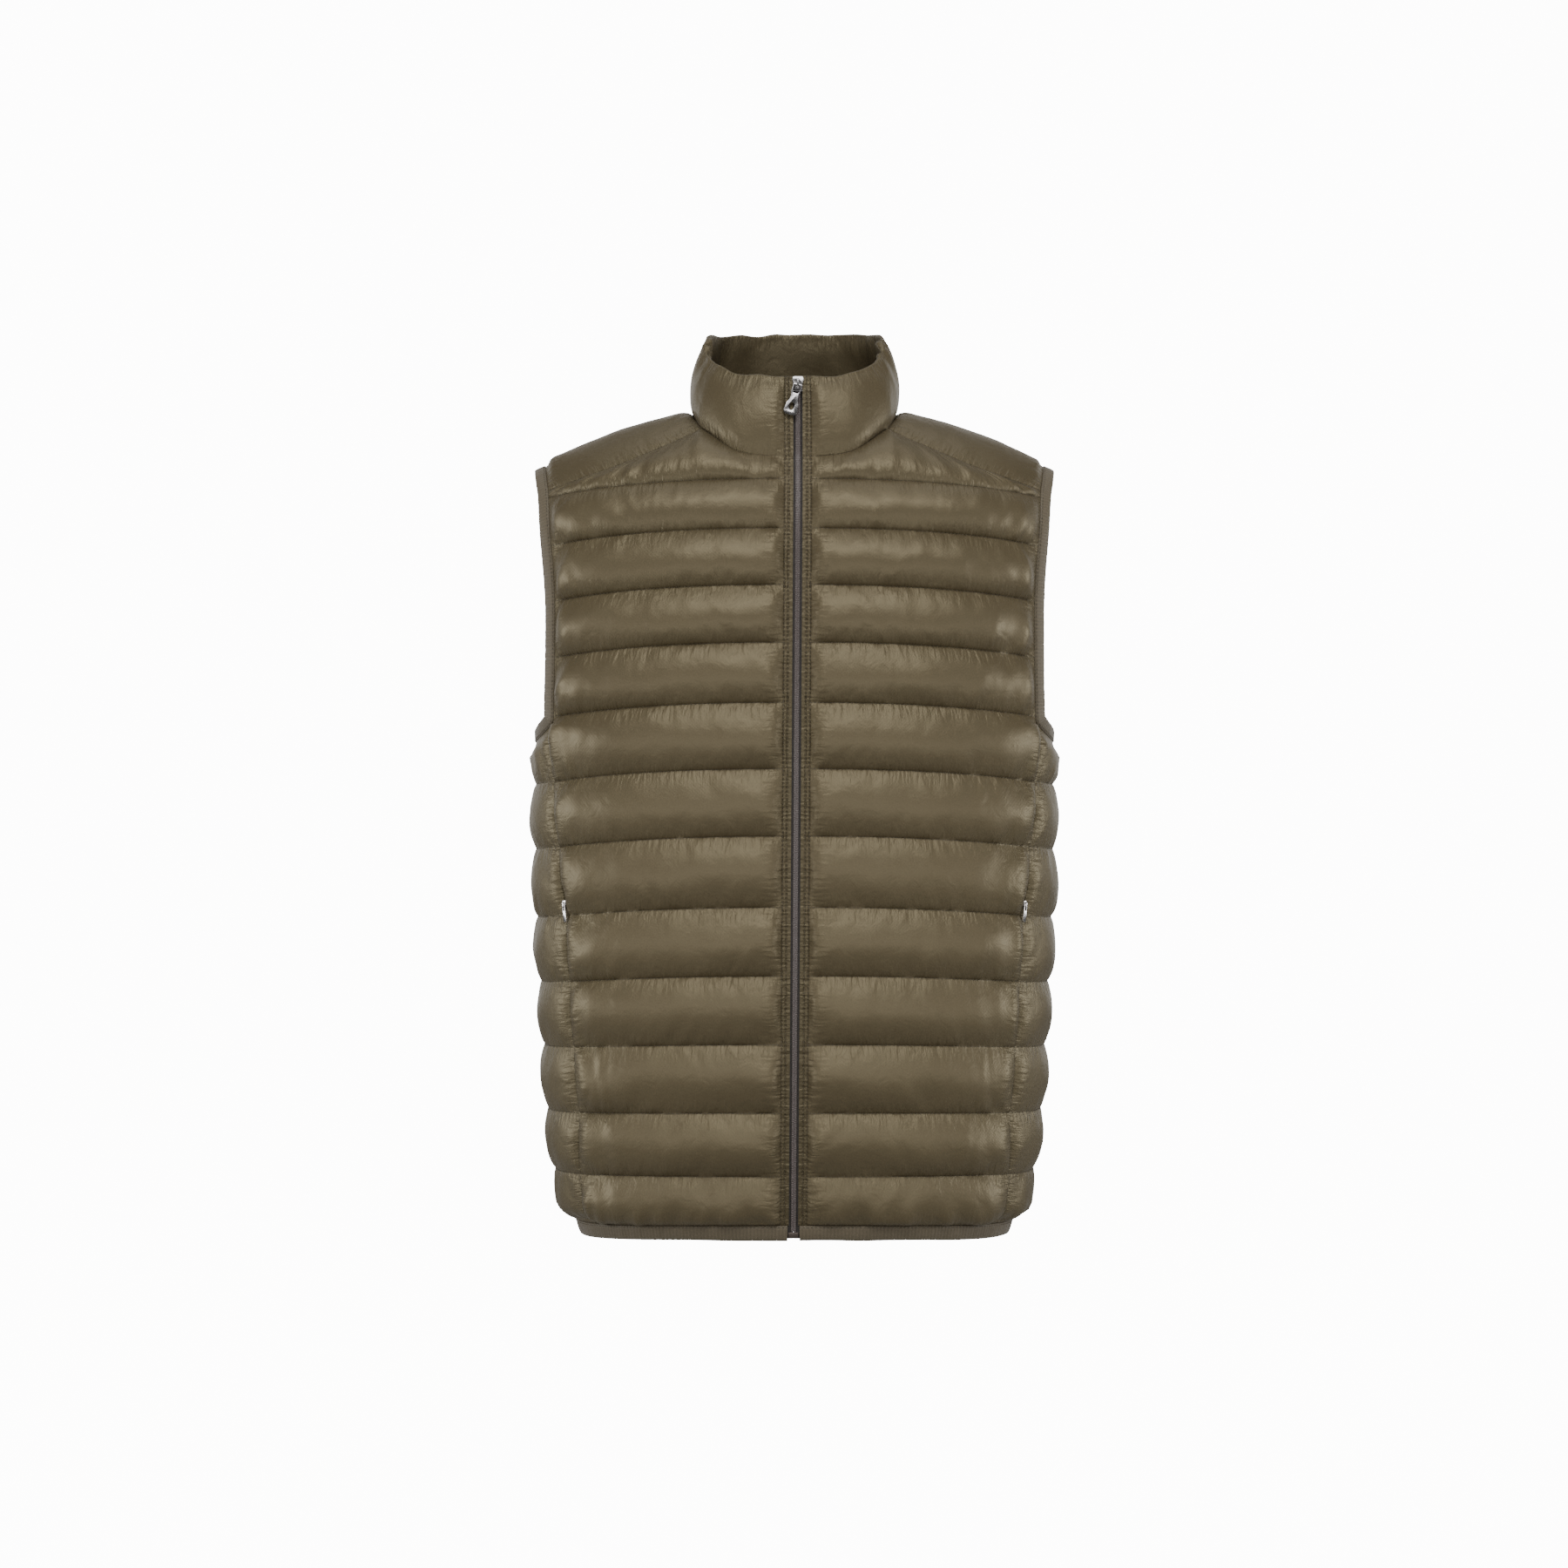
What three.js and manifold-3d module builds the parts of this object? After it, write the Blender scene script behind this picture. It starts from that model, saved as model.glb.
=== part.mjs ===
// Quilted sleeveless vest, filled out as if worn: padded fronts, sides, back and shoulder panels,
// a stand collar, bound armholes and hem, a centre zip and two side pockets closed by zips.
// Millimetres, +Z up, front towards -Y, +X is the wearer's left. The origin lies between the
// shoulders at the base of the neck, where the wearer carries the vest.
import * as THREE from 'three';
import * as BufferGeometryUtils from 'three/addons/utils/BufferGeometryUtils.js';
import Module from 'manifold-3d';

const wasm = await Module();
wasm.setup();

const DEG = Math.PI / 180;
const { clamp, lerp } = THREE.MathUtils;

// Cloth
const WALL = 2;
const COLLAR_WALL = 2.6;
const SEAM_GAP = 0.3;
const PADDING = 9.5;
const SIDE_PADDING = 5.5;
const PADDING_SHARE = 0.2;
const SHOULDER_PADDING = 6;
const COLLAR_PADDING = 7;
const CREST_SHAPE = 0.82;
const CREST_FULLNESS = 0.7;

// Horizontal sections of the body, from the hem to above the shoulders
const ROUNDNESS = 2.4;
const SECTIONS = [
  { z: -688, halfWidth: 197, front: 113, back: 113 },
  { z: -677, halfWidth: 200, front: 115, back: 115 },
  { z: -636, halfWidth: 208, front: 119, back: 119 },
  { z: -583, halfWidth: 214, front: 122, back: 122 },
  { z: -526, halfWidth: 217, front: 124, back: 124 },
  { z: -469, halfWidth: 220, front: 125, back: 125 },
  { z: -412, halfWidth: 223, front: 125, back: 126 },
  { z: -353, halfWidth: 224, front: 125, back: 127 },
  { z: -297, halfWidth: 224, front: 125, back: 127 },
  { z: -242, halfWidth: 224, front: 125, back: 126 },
  { z: -192, halfWidth: 224, front: 124, back: 125 },
  { z: -144, halfWidth: 224, front: 121, back: 124 },
  { z: -96, halfWidth: 227, front: 115, back: 121 },
  { z: -54, halfWidth: 229, front: 103, back: 114 },
  { z: -34, halfWidth: 231, front: 94, back: 108 },
  { z: 10, halfWidth: 233, front: 84, back: 92 },
  { z: 40, halfWidth: 235, front: 76, back: 80 },
];

// Shoulders: the ridge falls from the neck to the armhole and closes the body with a round
const RIDGE_Y = 5;
const RIDGE_TOP = 20;
const RIDGE_FALL = 880;
const CROWN_HEIGHT = 70;
const NECK_HALF_WIDTH = 88;
const NECK_RISE = 22;

// Quilting lines at the centre, from the hem binding up to the line below the shoulder seams,
// and how far each lies lower at the sides
const QUILT_LINES = [-677, -636, -583, -526, -469, -412, -353, -297, -242, -192, -144, -96.5, -54];
const LINE_SAG = [
  { z: -688, sag: 2 },
  { z: -636, sag: 4 },
  { z: -526, sag: 8 },
  { z: -420, sag: 12 },
  { z: -96, sag: 13 },
  { z: -54, sag: 13 },
];
const BAFFLE_STEPS = [0, 0.3, 0.65];
const TOP_STEPS = [0.35, 0.7, 1];
const HEM_BOTTOM = -688;

// Armhole and side seams, as angles round the body from the centre front
const ARMHOLE_BAFFLE = 7;
const ARMHOLE_STEP = 2;
const ARMHOLE_FRONT = 65;
const ARMHOLE_HOLLOW = 2;
const ARMHOLE_BACK = 115.5;
const ARMHOLE_END_LIFT = 12;
const SHOULDER_TIP = 211;
const SHOULDER_TIP_BOW = 5;
const SIDE_SEAMS = [
  { z: -688, front: 60, back: 120 },
  { z: -636, front: 57.5, back: 118 },
  { z: -583, front: 55, back: 116 },
  { z: -526, front: 56, back: 113 },
  { z: -469, front: 56.5, back: 109 },
  { z: -412, front: 57, back: 104 },
  { z: -353, front: 60, back: 98 },
  { z: -252, front: 65, back: 92 },
];

// Neck curve and shoulder seams: x from the centre, z of the neck, drop of a seam below the ridge
const FRONT_NECK = [
  { x: 0, z: -34 },
  { x: 25, z: -33.5 },
  { x: 51, z: -28 },
  { x: 79, z: -7 },
];
const FRONT_YOKE = [
  { x: 79, drop: 20.7 },
  { x: 105, drop: 28 },
  { x: 150, drop: 34 },
  { x: 184, drop: 32 },
  { x: 211, drop: 28 },
];
const BACK_NECK = [
  { x: 0, z: 14 },
  { x: 45, z: 12 },
  { x: 79, z: 6 },
];
const BACK_YOKE = [
  { x: 79, drop: 7.6 },
  { x: 110, drop: 22 },
  { x: 150, drop: 32 },
  { x: 211, drop: 28 },
];

// Panel columns as shares of a panel's width; the neck ends at column NECK_COLUMN
const FRONT_COLUMNS = [0, 0.06, 0.12, 0.23, 0.3, 0.3626, 0.52, 0.68, 0.82, 0.93, 1];
const FRONT_NECK_COLUMN = 5;
const BACK_COLUMNS = [0, 0.065, 0.13, 0.195, 0.252, 0.39, 0.548, 0.713, 0.872, 1];
const BACK_NECK_COLUMN = 4;
const UNDERARM_COLUMNS = [0.5, 1];
const UNDERARM_SPAN = [
  { z: -688, span: 12 },
  { z: -252, span: 23.5 },
];
const SIDE_COLUMNS = [0, 0.2, 0.5, 0.8, 1];
const SHOULDER_ROWS = 8;

// Collar: oval of its top edge and the height of that edge round the neck
const COLLAR_TOP = { halfWidth: 78, halfDepth: 75, centreY: -9, roundness: 2.3 };
const COLLAR_EDGE = [
  { angle: 0, z: 33 },
  { angle: 30, z: 34 },
  { angle: 45, z: 40 },
  { angle: 60, z: 48 },
  { angle: 90, z: 66 },
  { angle: 130, z: 84 },
  { angle: 180, z: 90 },
];
const COLLAR_ROWS = [
  { share: 0, rise: 0 },
  { share: 0.2, rise: 0.72 },
  { share: 0.5, rise: 1 },
  { share: 0.8, rise: 0.72 },
  { share: 1, rise: 0.12 },
];

// Bindings
const ARMHOLE_BINDING_WIDTH = 11;
const ARMHOLE_BINDING_FLARE = 0.5;
const BINDING_OUTSIDE = 0.8;
const BINDING_INSIDE = 0.8;
const BINDING_ROUND = 0.9;
const HEM_END = 1.2;

// Centre zip
const ZIP_EDGE = 3.9;
const ZIP_FLAT = 12.5;
const ZIP_LEAN = { top: -34, topX: 2.8, bottom: -688, bottomX: -1.2 };
const TAPE = { inner: 2.8, outer: 12.5, gap: 0.35, thickness: 1 };
const CHAIN = { halfWidth: 2.3, recess: 0.8, depth: 2.4 };
const CHAIN_BOTTOM = -682.5;
const ZIP_BOX = { width: 8.6, height: 5, depth: 3.4, gap: 0.5 };

// Slider and pull of the centre zip, in their own frame: z along the zip, -y outwards
const SLIDER = {
  z: 27, length: 13, topHalf: 5, bottomHalf: 3.8, plate: 1.4, clear: 0.4, back: 4.3, backPlate: 1,
  wedgeHalf: 1.9, wedgeStart: 2.5, chainClear: 0.8,
};
const ARCH = { half: 0.8, foot: 4, mouth: 2.6, height: 3.2, opening: 2.1, corner: 0.8 };
const PULL = {
  pivotZ: -1.2, pivotOut: 2.85, thickness: 1.2, length: 27, loopHalf: 3.9, waistHalf: 3.1,
  footHalf: 5.7, windowHalf: 2.5, windowLength: 8, ovalCentre: 19.5, ovalHalf: 2.3, ovalLong: 3.6,
  tilt: 16,
};
const OVAL_SIDES = 14;
const CURVE_SIDES = 5;
const MERGE_DISTANCE = 0.01;

// Side pockets, closed by zips behind the front side seams
const POCKET = { top: -392, bottom: -575, halfWidth: 6, gap: 0.45, thickness: 1.2 };
const POCKET_SLIDER = { row: -403, half: 1.9, length: 7, plate: 1.2, clear: 1.15 };
const POCKET_ARCH = { half: 0.6, foot: 2.3, mouth: 1.5, height: 2, opening: 1.3, corner: 0.4 };
const POCKET_PULL = { pivotZ: -0.6, pivotOut: 0.65, thickness: 0.7, half: 1.75, window: 4.4, length: 14 };

const CLOTH_COLOUR = new THREE.Color(0x62573f);
const BINDING_COLOUR = new THREE.Color(0x665c42);
const TAPE_COLOUR = new THREE.Color(0x554c45);
const CHAIN_COLOUR = new THREE.Color(0x6b615c);
const METAL_COLOUR = new THREE.Color(0xc7c1c0);

const smooth = (t) => {
  const s = clamp(t, 0, 1);
  return s * s * (3 - 2 * s);
};

// Smooth curve through the rows of a table: value of column `name` where column `key` is `at`
function tableValue(table, key, at, name) {
  const last = table.length - 1;
  if (at <= table[0][key]) return table[0][name];
  if (at >= table[last][key]) return table[last][name];
  let i = 0;
  while (at > table[i + 1][key]) i += 1;
  const slope = (k) => {
    const low = table[Math.max(k - 1, 0)];
    const high = table[Math.min(k + 1, last)];
    return (high[name] - low[name]) / (high[key] - low[key]);
  };
  const span = table[i + 1][key] - table[i][key];
  const t = (at - table[i][key]) / span;
  const blend = t * t * (3 - 2 * t);
  return lerp(table[i][name], table[i + 1][name], blend)
    + (t * t * t - 2 * t * t + t) * slope(i) * span
    + (t * t * t - t * t) * slope(i + 1) * span;
}

const section = (z, name) => tableValue(SECTIONS, 'z', z, name);
const zipLean = (z) => lerp(ZIP_LEAN.bottomX, ZIP_LEAN.topX,
  clamp((z - ZIP_LEAN.bottom) / (ZIP_LEAN.top - ZIP_LEAN.bottom), 0, 1));

// Height of the shoulder ridge at x, raised a little across the neck
function crown(x) {
  const inside = Math.max(0, 1 - (x / NECK_HALF_WIDTH) ** 2);
  return RIDGE_TOP - (x * x) / RIDGE_FALL + NECK_RISE * inside * inside;
}

function closedDepth(x, z, ring) {
  const drop = clamp((crown(x) - z) / CROWN_HEIGHT, 0, 1);
  return RIDGE_Y + (ring - RIDGE_Y) * Math.sqrt(1 - (1 - drop) ** 2);
}

// Point of the body at an angle round it (0 centre front, pi centre back) and a height
function bodyPoint(theta, z) {
  const x = section(z, 'halfWidth') * Math.abs(Math.sin(theta)) ** (2 / ROUNDNESS);
  const share = Math.abs(Math.cos(theta)) ** (2 / ROUNDNESS);
  const ring = Math.cos(theta) > 0 ? -section(z, 'front') * share : section(z, 'back') * share;
  return new THREE.Vector3(x, closedDepth(x, z, ring), z);
}

function angleAt(x, z, isBack) {
  const share = clamp(x / section(z, 'halfWidth'), 0, 1);
  const angle = Math.asin(share ** (ROUNDNESS / 2));
  return isBack ? Math.PI - angle : angle;
}

// Point of the shoulder at x and an angle over the ridge, negative in front
function shoulderPoint(x, phi) {
  const z = crown(x) - CROWN_HEIGHT * (1 - Math.cos(phi));
  const share = (1 - (x / section(z, 'halfWidth')) ** ROUNDNESS) ** (1 / ROUNDNESS);
  const ring = phi < 0 ? -section(z, 'front') * share : section(z, 'back') * share;
  return new THREE.Vector3(x, RIDGE_Y + (ring - RIDGE_Y) * Math.abs(Math.sin(phi)), z);
}

// Outward direction of a surface given by two parameters
function surfaceNormal(surface, u, v, du, dv) {
  const along = surface(u + du, v).sub(surface(u - du, v));
  const across = surface(u, v + dv).sub(surface(u, v - dv));
  return along.cross(across).normalize();
}

const sagAt = (theta, row) => tableValue(LINE_SAG, 'z', row, 'sag') * Math.sin(theta) ** 2;

function onBody(theta, z, line) {
  const normal = surfaceNormal(bodyPoint, theta, z, 0.004, 0.4);
  return { point: bodyPoint(theta, z), normal, theta, line };
}

// Rows of the body panels: the quilting lines and the steps between them
const bodyRows = [];
QUILT_LINES.slice(0, -1).forEach((low, baffle) => {
  const high = QUILT_LINES[baffle + 1];
  BAFFLE_STEPS.forEach((share, step) => {
    const lift = baffle === ARMHOLE_BAFFLE ? (step / ARMHOLE_STEP) ** 2 * ARMHOLE_END_LIFT : 0;
    bodyRows.push({ row: lerp(low, high, share), share, height: high - low, lift });
  });
});
const TOP_LINE = QUILT_LINES.at(-1);
bodyRows.push({ row: TOP_LINE, share: 0, height: 0, lift: 0 });
const ARMHOLE_ROW = ARMHOLE_BAFFLE * BAFFLE_STEPS.length + ARMHOLE_STEP;

// The row at the foot of the armhole rises towards both ends of the opening
function rowHeight(entry, theta) {
  const reach = Math.abs(theta / DEG - 90) / (90 - ARMHOLE_FRONT);
  const rise = reach < 1 ? reach ** 2.2 : 1 - smooth(reach - 1);
  return entry.row + entry.lift * rise;
}

function seamAngle(row, name) {
  return tableValue(SIDE_SEAMS, 'z', row, name) * DEG;
}

function armholeFrontAngle(row) {
  const share = clamp((row - QUILT_LINES[ARMHOLE_BAFFLE]) / (TOP_LINE - QUILT_LINES[ARMHOLE_BAFFLE]), 0, 1);
  return (ARMHOLE_FRONT - ARMHOLE_HOLLOW * Math.sin(Math.PI * share)) * DEG;
}

// Share of a baffle's full rise, from its lower line (0) to its upper one (1)
function baffleRise(share) {
  return Math.max(0, Math.sin(Math.PI * share ** CREST_SHAPE)) ** CREST_FULLNESS;
}

function bodyRowPoint(entry, theta) {
  const row = rowHeight(entry, theta);
  const placed = onBody(theta, row - sagAt(theta, row), entry);
  placed.rise = Math.min(PADDING, PADDING_SHARE * entry.height) * baffleRise(entry.share);
  return placed;
}

// Rows above the last quilting line, up to the neck curve and the shoulder seam
function topRows(lowRow, topHeight, isBack, edgeX) {
  return TOP_STEPS.map((share) => lowRow.map((low, column) => {
    const x = lerp(low.point.x, edgeX[column], share);
    const z = lerp(low.point.z, topHeight(edgeX[column]), share);
    const placed = onBody(angleAt(x, z, isBack), z);
    const height = topHeight(edgeX[column]) - low.point.z;
    placed.rise = Math.min(PADDING, PADDING_SHARE * height) * baffleRise(share);
    return placed;
  }));
}

const frontTop = (x) => (x < FRONT_YOKE[0].x ? tableValue(FRONT_NECK, 'x', x, 'z')
  : crown(x) - tableValue(FRONT_YOKE, 'x', x, 'drop'));
const backTop = (x) => (x < BACK_YOKE[0].x ? tableValue(BACK_NECK, 'x', x, 'z')
  : crown(x) - tableValue(BACK_YOKE, 'x', x, 'drop'));

// Grid of a front panel, rows of columns; side is 1 on the wearer's left and -1 on the right
function frontGrid(side) {
  const rows = bodyRows.map((entry, r) => {
    const outer = r <= ARMHOLE_ROW ? seamAngle(entry.row + entry.lift, 'front') : armholeFrontAngle(entry.row);
    const outerX = bodyPoint(outer, entry.row).x;
    const innerX = ZIP_EDGE + side * zipLean(entry.row);
    return FRONT_COLUMNS.map((share) => {
      const theta = share === 1 ? outer : angleAt(lerp(innerX, outerX, share), entry.row, false);
      return bodyRowPoint(entry, theta);
    });
  });
  const innerX = ZIP_EDGE + side * zipLean(TOP_LINE);
  const edgeX = FRONT_COLUMNS.map((share) => lerp(innerX, SHOULDER_TIP, share));
  edgeX[FRONT_NECK_COLUMN] = FRONT_YOKE[0].x;
  return rows.concat(topRows(rows.at(-1), frontTop, false, edgeX));
}

const sideRows = bodyRows.slice(0, ARMHOLE_ROW + 1);

function sideGrid() {
  return sideRows.map((entry) => {
    const from = seamAngle(entry.row + entry.lift, 'front');
    const to = seamAngle(entry.row + entry.lift, 'back');
    return SIDE_COLUMNS.map((share) => bodyRowPoint(entry, lerp(from, to, share)));
  });
}

// Half of the back, from the centre outwards; null where the armhole leaves no cloth
function halfBackGrid() {
  const rows = bodyRows.map((entry, r) => {
    const level = entry.row + entry.lift;
    const seam = seamAngle(level, 'back');
    const span = tableValue(UNDERARM_SPAN, 'z', level, 'span') * DEG;
    const corner = r < ARMHOLE_ROW ? seam + span : ARMHOLE_BACK * DEG;
    const points = BACK_COLUMNS.map((share) => bodyRowPoint(entry, lerp(Math.PI, corner, share)));
    return points.concat(UNDERARM_COLUMNS.map((share) => (r > ARMHOLE_ROW ? null
      : bodyRowPoint(entry, lerp(corner, seam, share)))));
  });
  const tip = angleAt(SHOULDER_TIP, backTop(SHOULDER_TIP), true);
  const edgeX = BACK_COLUMNS.map((share) => {
    const theta = lerp(Math.PI, tip, share);
    return bodyPoint(theta, backTop(SHOULDER_TIP)).x;
  });
  edgeX[BACK_NECK_COLUMN] = BACK_YOKE[0].x;
  const low = rows.at(-1).slice(0, BACK_COLUMNS.length);
  return rows.concat(topRows(low, backTop, true, edgeX).map((row) => row.concat([null, null])));
}

// Shoulder panel between the front and back seams; its columns run from the neck to the armhole
function shoulderGrid(frontEdge, backEdge) {
  const over = (point) => Math.acos(1 - (crown(point.x) - point.z) / CROWN_HEIGHT);
  return Array.from({ length: SHOULDER_ROWS + 1 }, (_, k) => {
    const s = k / SHOULDER_ROWS;
    const bow = 1 - (2 * s - 1) ** 2;
    return frontEdge.map((front, i) => {
      const back = backEdge[i];
      const share = i / (frontEdge.length - 1);
      const neckBow = NECK_HALF_WIDTH - FRONT_YOKE[0].x;
      const x = lerp(front.point.x, back.point.x, s) + bow * lerp(neckBow, SHOULDER_TIP_BOW, share);
      const phi = lerp(-over(front.point), over(back.point), s);
      const placed = { point: shoulderPoint(x, phi) };
      placed.normal = surfaceNormal(shoulderPoint, x, phi, 0.4, 0.004);
      placed.rise = SHOULDER_PADDING * Math.sin(Math.PI * s) ** CREST_FULLNESS;
      return placed;
    });
  });
}

// Length along a run of grid points from its start to each point
function runLengths(points) {
  const lengths = [0];
  for (let i = 1; i < points.length; i += 1) {
    lengths.push(lengths[i - 1] + points[i].point.distanceTo(points[i - 1].point));
  }
  return lengths;
}

// Flattens the padding towards a panel's edges: flat and soft widths at each end of a row
function taperRows(grid, start, end) {
  grid.forEach((row) => {
    const present = row.filter(Boolean);
    const lengths = runLengths(present);
    const whole = lengths.at(-1);
    present.forEach((placed, i) => {
      const fromStart = smooth((lengths[i] - start.flat) / start.soft);
      const fromEnd = smooth((whole - lengths[i] - end.flat) / end.soft);
      placed.rise *= fromStart * fromEnd;
    });
  });
}

// Keeps half of the seam gap clear along a panel's edges by drawing the edge points inwards
function drawIn(grid) {
  const moved = grid.map((row) => row.map((placed) => placed && placed.point.clone()));
  const at = (r, c) => grid[r]?.[c] ?? null;
  grid.forEach((row, r) => row.forEach((placed, c) => {
    if (!placed) return;
    [[0, 1], [0, -1], [1, 0], [-1, 0]].forEach(([dr, dc]) => {
      if (at(r - dr, c - dc) || !at(r + dr, c + dc)) return;
      const inward = at(r + dr, c + dc).point.clone().sub(placed.point).normalize();
      moved[r][c].addScaledVector(inward, SEAM_GAP / 2);
    });
  }));
  grid.forEach((row, r) => row.forEach((placed, c) => {
    if (placed) placed.point = moved[r][c];
  }));
  return grid;
}

// Closed wall over a grid: raised outer points over a plain inside, with rims round every edge.
// Column direction times row direction points outwards.
function wallGeometry(grid, wall) {
  const positions = [];
  const outer = grid.map((row) => row.map((placed) => {
    if (!placed) return -1;
    const top = placed.point.clone().addScaledVector(placed.normal, placed.rise);
    positions.push(...top.toArray());
    return positions.length / 3 - 1;
  }));
  const inner = grid.map((row) => row.map((placed) => {
    if (!placed) return -1;
    const inside = placed.inside ?? placed.normal;
    positions.push(...placed.point.clone().addScaledVector(inside, -wall).toArray());
    return positions.length / 3 - 1;
  }));
  const hasCell = (r, c) => r >= 0 && c >= 0 && r + 1 < grid.length && c + 1 < grid[0].length
    && outer[r][c] >= 0 && outer[r][c + 1] >= 0 && outer[r + 1][c] >= 0 && outer[r + 1][c + 1] >= 0;
  const faces = [];
  const rim = (r0, c0, r1, c1) => {
    faces.push(outer[r1][c1], outer[r0][c0], inner[r0][c0]);
    faces.push(outer[r1][c1], inner[r0][c0], inner[r1][c1]);
  };
  for (let r = 0; r + 1 < grid.length; r += 1) {
    for (let c = 0; c + 1 < grid[0].length; c += 1) {
      if (!hasCell(r, c)) continue;
      const corners = [[r, c], [r, c + 1], [r + 1, c + 1], [r + 1, c]];
      const o = corners.map(([a, b]) => outer[a][b]);
      const n = corners.map(([a, b]) => inner[a][b]);
      faces.push(o[0], o[1], o[2], o[0], o[2], o[3]);
      faces.push(n[0], n[2], n[1], n[0], n[3], n[2]);
      if (!hasCell(r - 1, c)) rim(r, c, r, c + 1);
      if (!hasCell(r, c + 1)) rim(r, c + 1, r + 1, c + 1);
      if (!hasCell(r + 1, c)) rim(r + 1, c + 1, r + 1, c);
      if (!hasCell(r, c - 1)) rim(r + 1, c, r, c);
    }
  }
  return indexed(positions, faces);
}

function indexed(positions, faces) {
  const geometry = new THREE.BufferGeometry();
  geometry.setAttribute('position', new THREE.Float32BufferAttribute(positions, 3));
  geometry.setIndex(faces);
  return geometry;
}

function mirrored(geometry) {
  const copy = geometry.clone();
  copy.scale(-1, 1, 1);
  const index = copy.getIndex().array;
  for (let i = 0; i < index.length; i += 3) {
    [index[i], index[i + 1]] = [index[i + 1], index[i]];
  }
  return copy;
}

const mirroredPoint = (placed) => ({
  point: placed.point.clone().multiply(new THREE.Vector3(-1, 1, 1)),
  normal: placed.normal.clone().multiply(new THREE.Vector3(-1, 1, 1)),
});

// Solid along a run of stations, each a ring of points in the same order; the ring turns so that
// the faces point outwards, and an open run is closed by fans at both ends
function sweptGeometry(rings, isClosed) {
  const positions = rings.flatMap((ring) => ring.flatMap((point) => point.toArray()));
  const size = rings[0].length;
  const count = rings.length;
  const faces = [];
  for (let s = 0; s < (isClosed ? count : count - 1); s += 1) {
    for (let i = 0; i < size; i += 1) {
      const a = s * size + i;
      const b = s * size + ((i + 1) % size);
      const c = ((s + 1) % count) * size + ((i + 1) % size);
      const d = ((s + 1) % count) * size + i;
      faces.push(a, c, b, a, d, c);
    }
  }
  if (!isClosed) {
    const end = (count - 1) * size;
    for (let i = 1; i + 1 < size; i += 1) {
      faces.push(0, i, i + 1);
      faces.push(end, end + i + 1, end + i);
    }
  }
  return indexed(positions, faces);
}

// Binding along the bare edge of the panels: stations hold a point, its normal and the direction
// that leads off the cloth
function bindingGeometry(stations, width, isClosed) {
  const rings = stations.map(({ point, normal, away }) => {
    const corner = (out, rise) => point.clone().addScaledVector(away, out).addScaledVector(normal, rise);
    return [
      corner(SEAM_GAP, BINDING_OUTSIDE),
      corner(SEAM_GAP, -WALL - BINDING_INSIDE),
      corner(width - BINDING_ROUND, -WALL - BINDING_INSIDE),
      corner(width, -WALL / 2),
      corner(width - BINDING_ROUND, BINDING_OUTSIDE),
    ];
  });
  return sweptGeometry(rings, isClosed);
}

// Direction off the cloth at each point of a run of edge points; `turn` is 1 or -1
function withAway(points, isClosed, turn, flare) {
  const count = points.length;
  return points.map((placed, i) => {
    const next = isClosed ? points[(i + 1) % count] : points[Math.min(i + 1, count - 1)];
    const before = isClosed ? points[(i + count - 1) % count] : points[Math.max(i - 1, 0)];
    const along = next.point.clone().sub(before.point).normalize();
    const away = placed.normal.clone().cross(along).multiplyScalar(turn);
    away.addScaledVector(placed.normal, flare * Math.abs(placed.normal.y)).normalize();
    return { ...placed, away };
  });
}

// Joins closed geometries into one body
function fused(geometries) {
  const solids = geometries.map((geometry) => {
    let bare = geometry.clone();
    bare.deleteAttribute('normal');
    bare.deleteAttribute('uv');
    bare = BufferGeometryUtils.mergeVertices(bare, 1e-5);
    return new wasm.Manifold(new wasm.Mesh({
      numProp: 3,
      vertProperties: new Float32Array(bare.getAttribute('position').array),
      triVerts: new Uint32Array(bare.getIndex().array),
    }));
  });
  const whole = solids.reduce((sum, solid) => sum.add(solid));
  const mesh = whole.getMesh();
  return indexed(Array.from(mesh.vertProperties), Array.from(mesh.triVerts));
}

// Points of a closed outline without near repeats where its curves meet
function distinctPoints(path) {
  const points = path.getPoints(CURVE_SIDES);
  return points.filter((point, i) => point.distanceTo(points.at(i - 1)) > MERGE_DISTANCE);
}

// Flat plate of an outline in x and z, with its thickness along y from `near` to `far`
function plateGeometry(outline, near, far) {
  const shape = new THREE.Shape(distinctPoints(outline));
  shape.holes = outline.holes.map((hole) => new THREE.Path(distinctPoints(hole)));
  const geometry = new THREE.ExtrudeGeometry(shape, { depth: far - near, bevelEnabled: false });
  geometry.rotateX(Math.PI / 2);
  geometry.translate(0, far, 0);
  return geometry;
}

function boxBetween(low, high) {
  const size = high.map((value, i) => value - low[i]);
  const geometry = new THREE.BoxGeometry(...size);
  return geometry.translate(...low.map((value, i) => value + size[i] / 2));
}

function outlineOf(points) {
  return new THREE.Shape(points.map(([x, z]) => new THREE.Vector2(x, z)));
}

// Arch over the slider's plate, standing outwards from y = -base, with an opening along x
function archGeometry(arch, base) {
  const root = -base + 0.3;
  const top = -base - arch.height;
  const inside = -base - arch.opening;
  const outline = outlineOf([
    [-arch.foot, root], [-arch.mouth, root], [-arch.mouth, inside], [arch.mouth, inside],
    [arch.mouth, root], [arch.foot, root], [arch.foot, top + arch.corner],
    [arch.foot - arch.corner, top], [-arch.foot + arch.corner, top], [-arch.foot, top + arch.corner],
  ]);
  const geometry = new THREE.ExtrudeGeometry(outline, { depth: 2 * arch.half, bevelEnabled: false });
  return geometry.rotateY(Math.PI / 2).translate(-arch.half, 0, 0);
}

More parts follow.
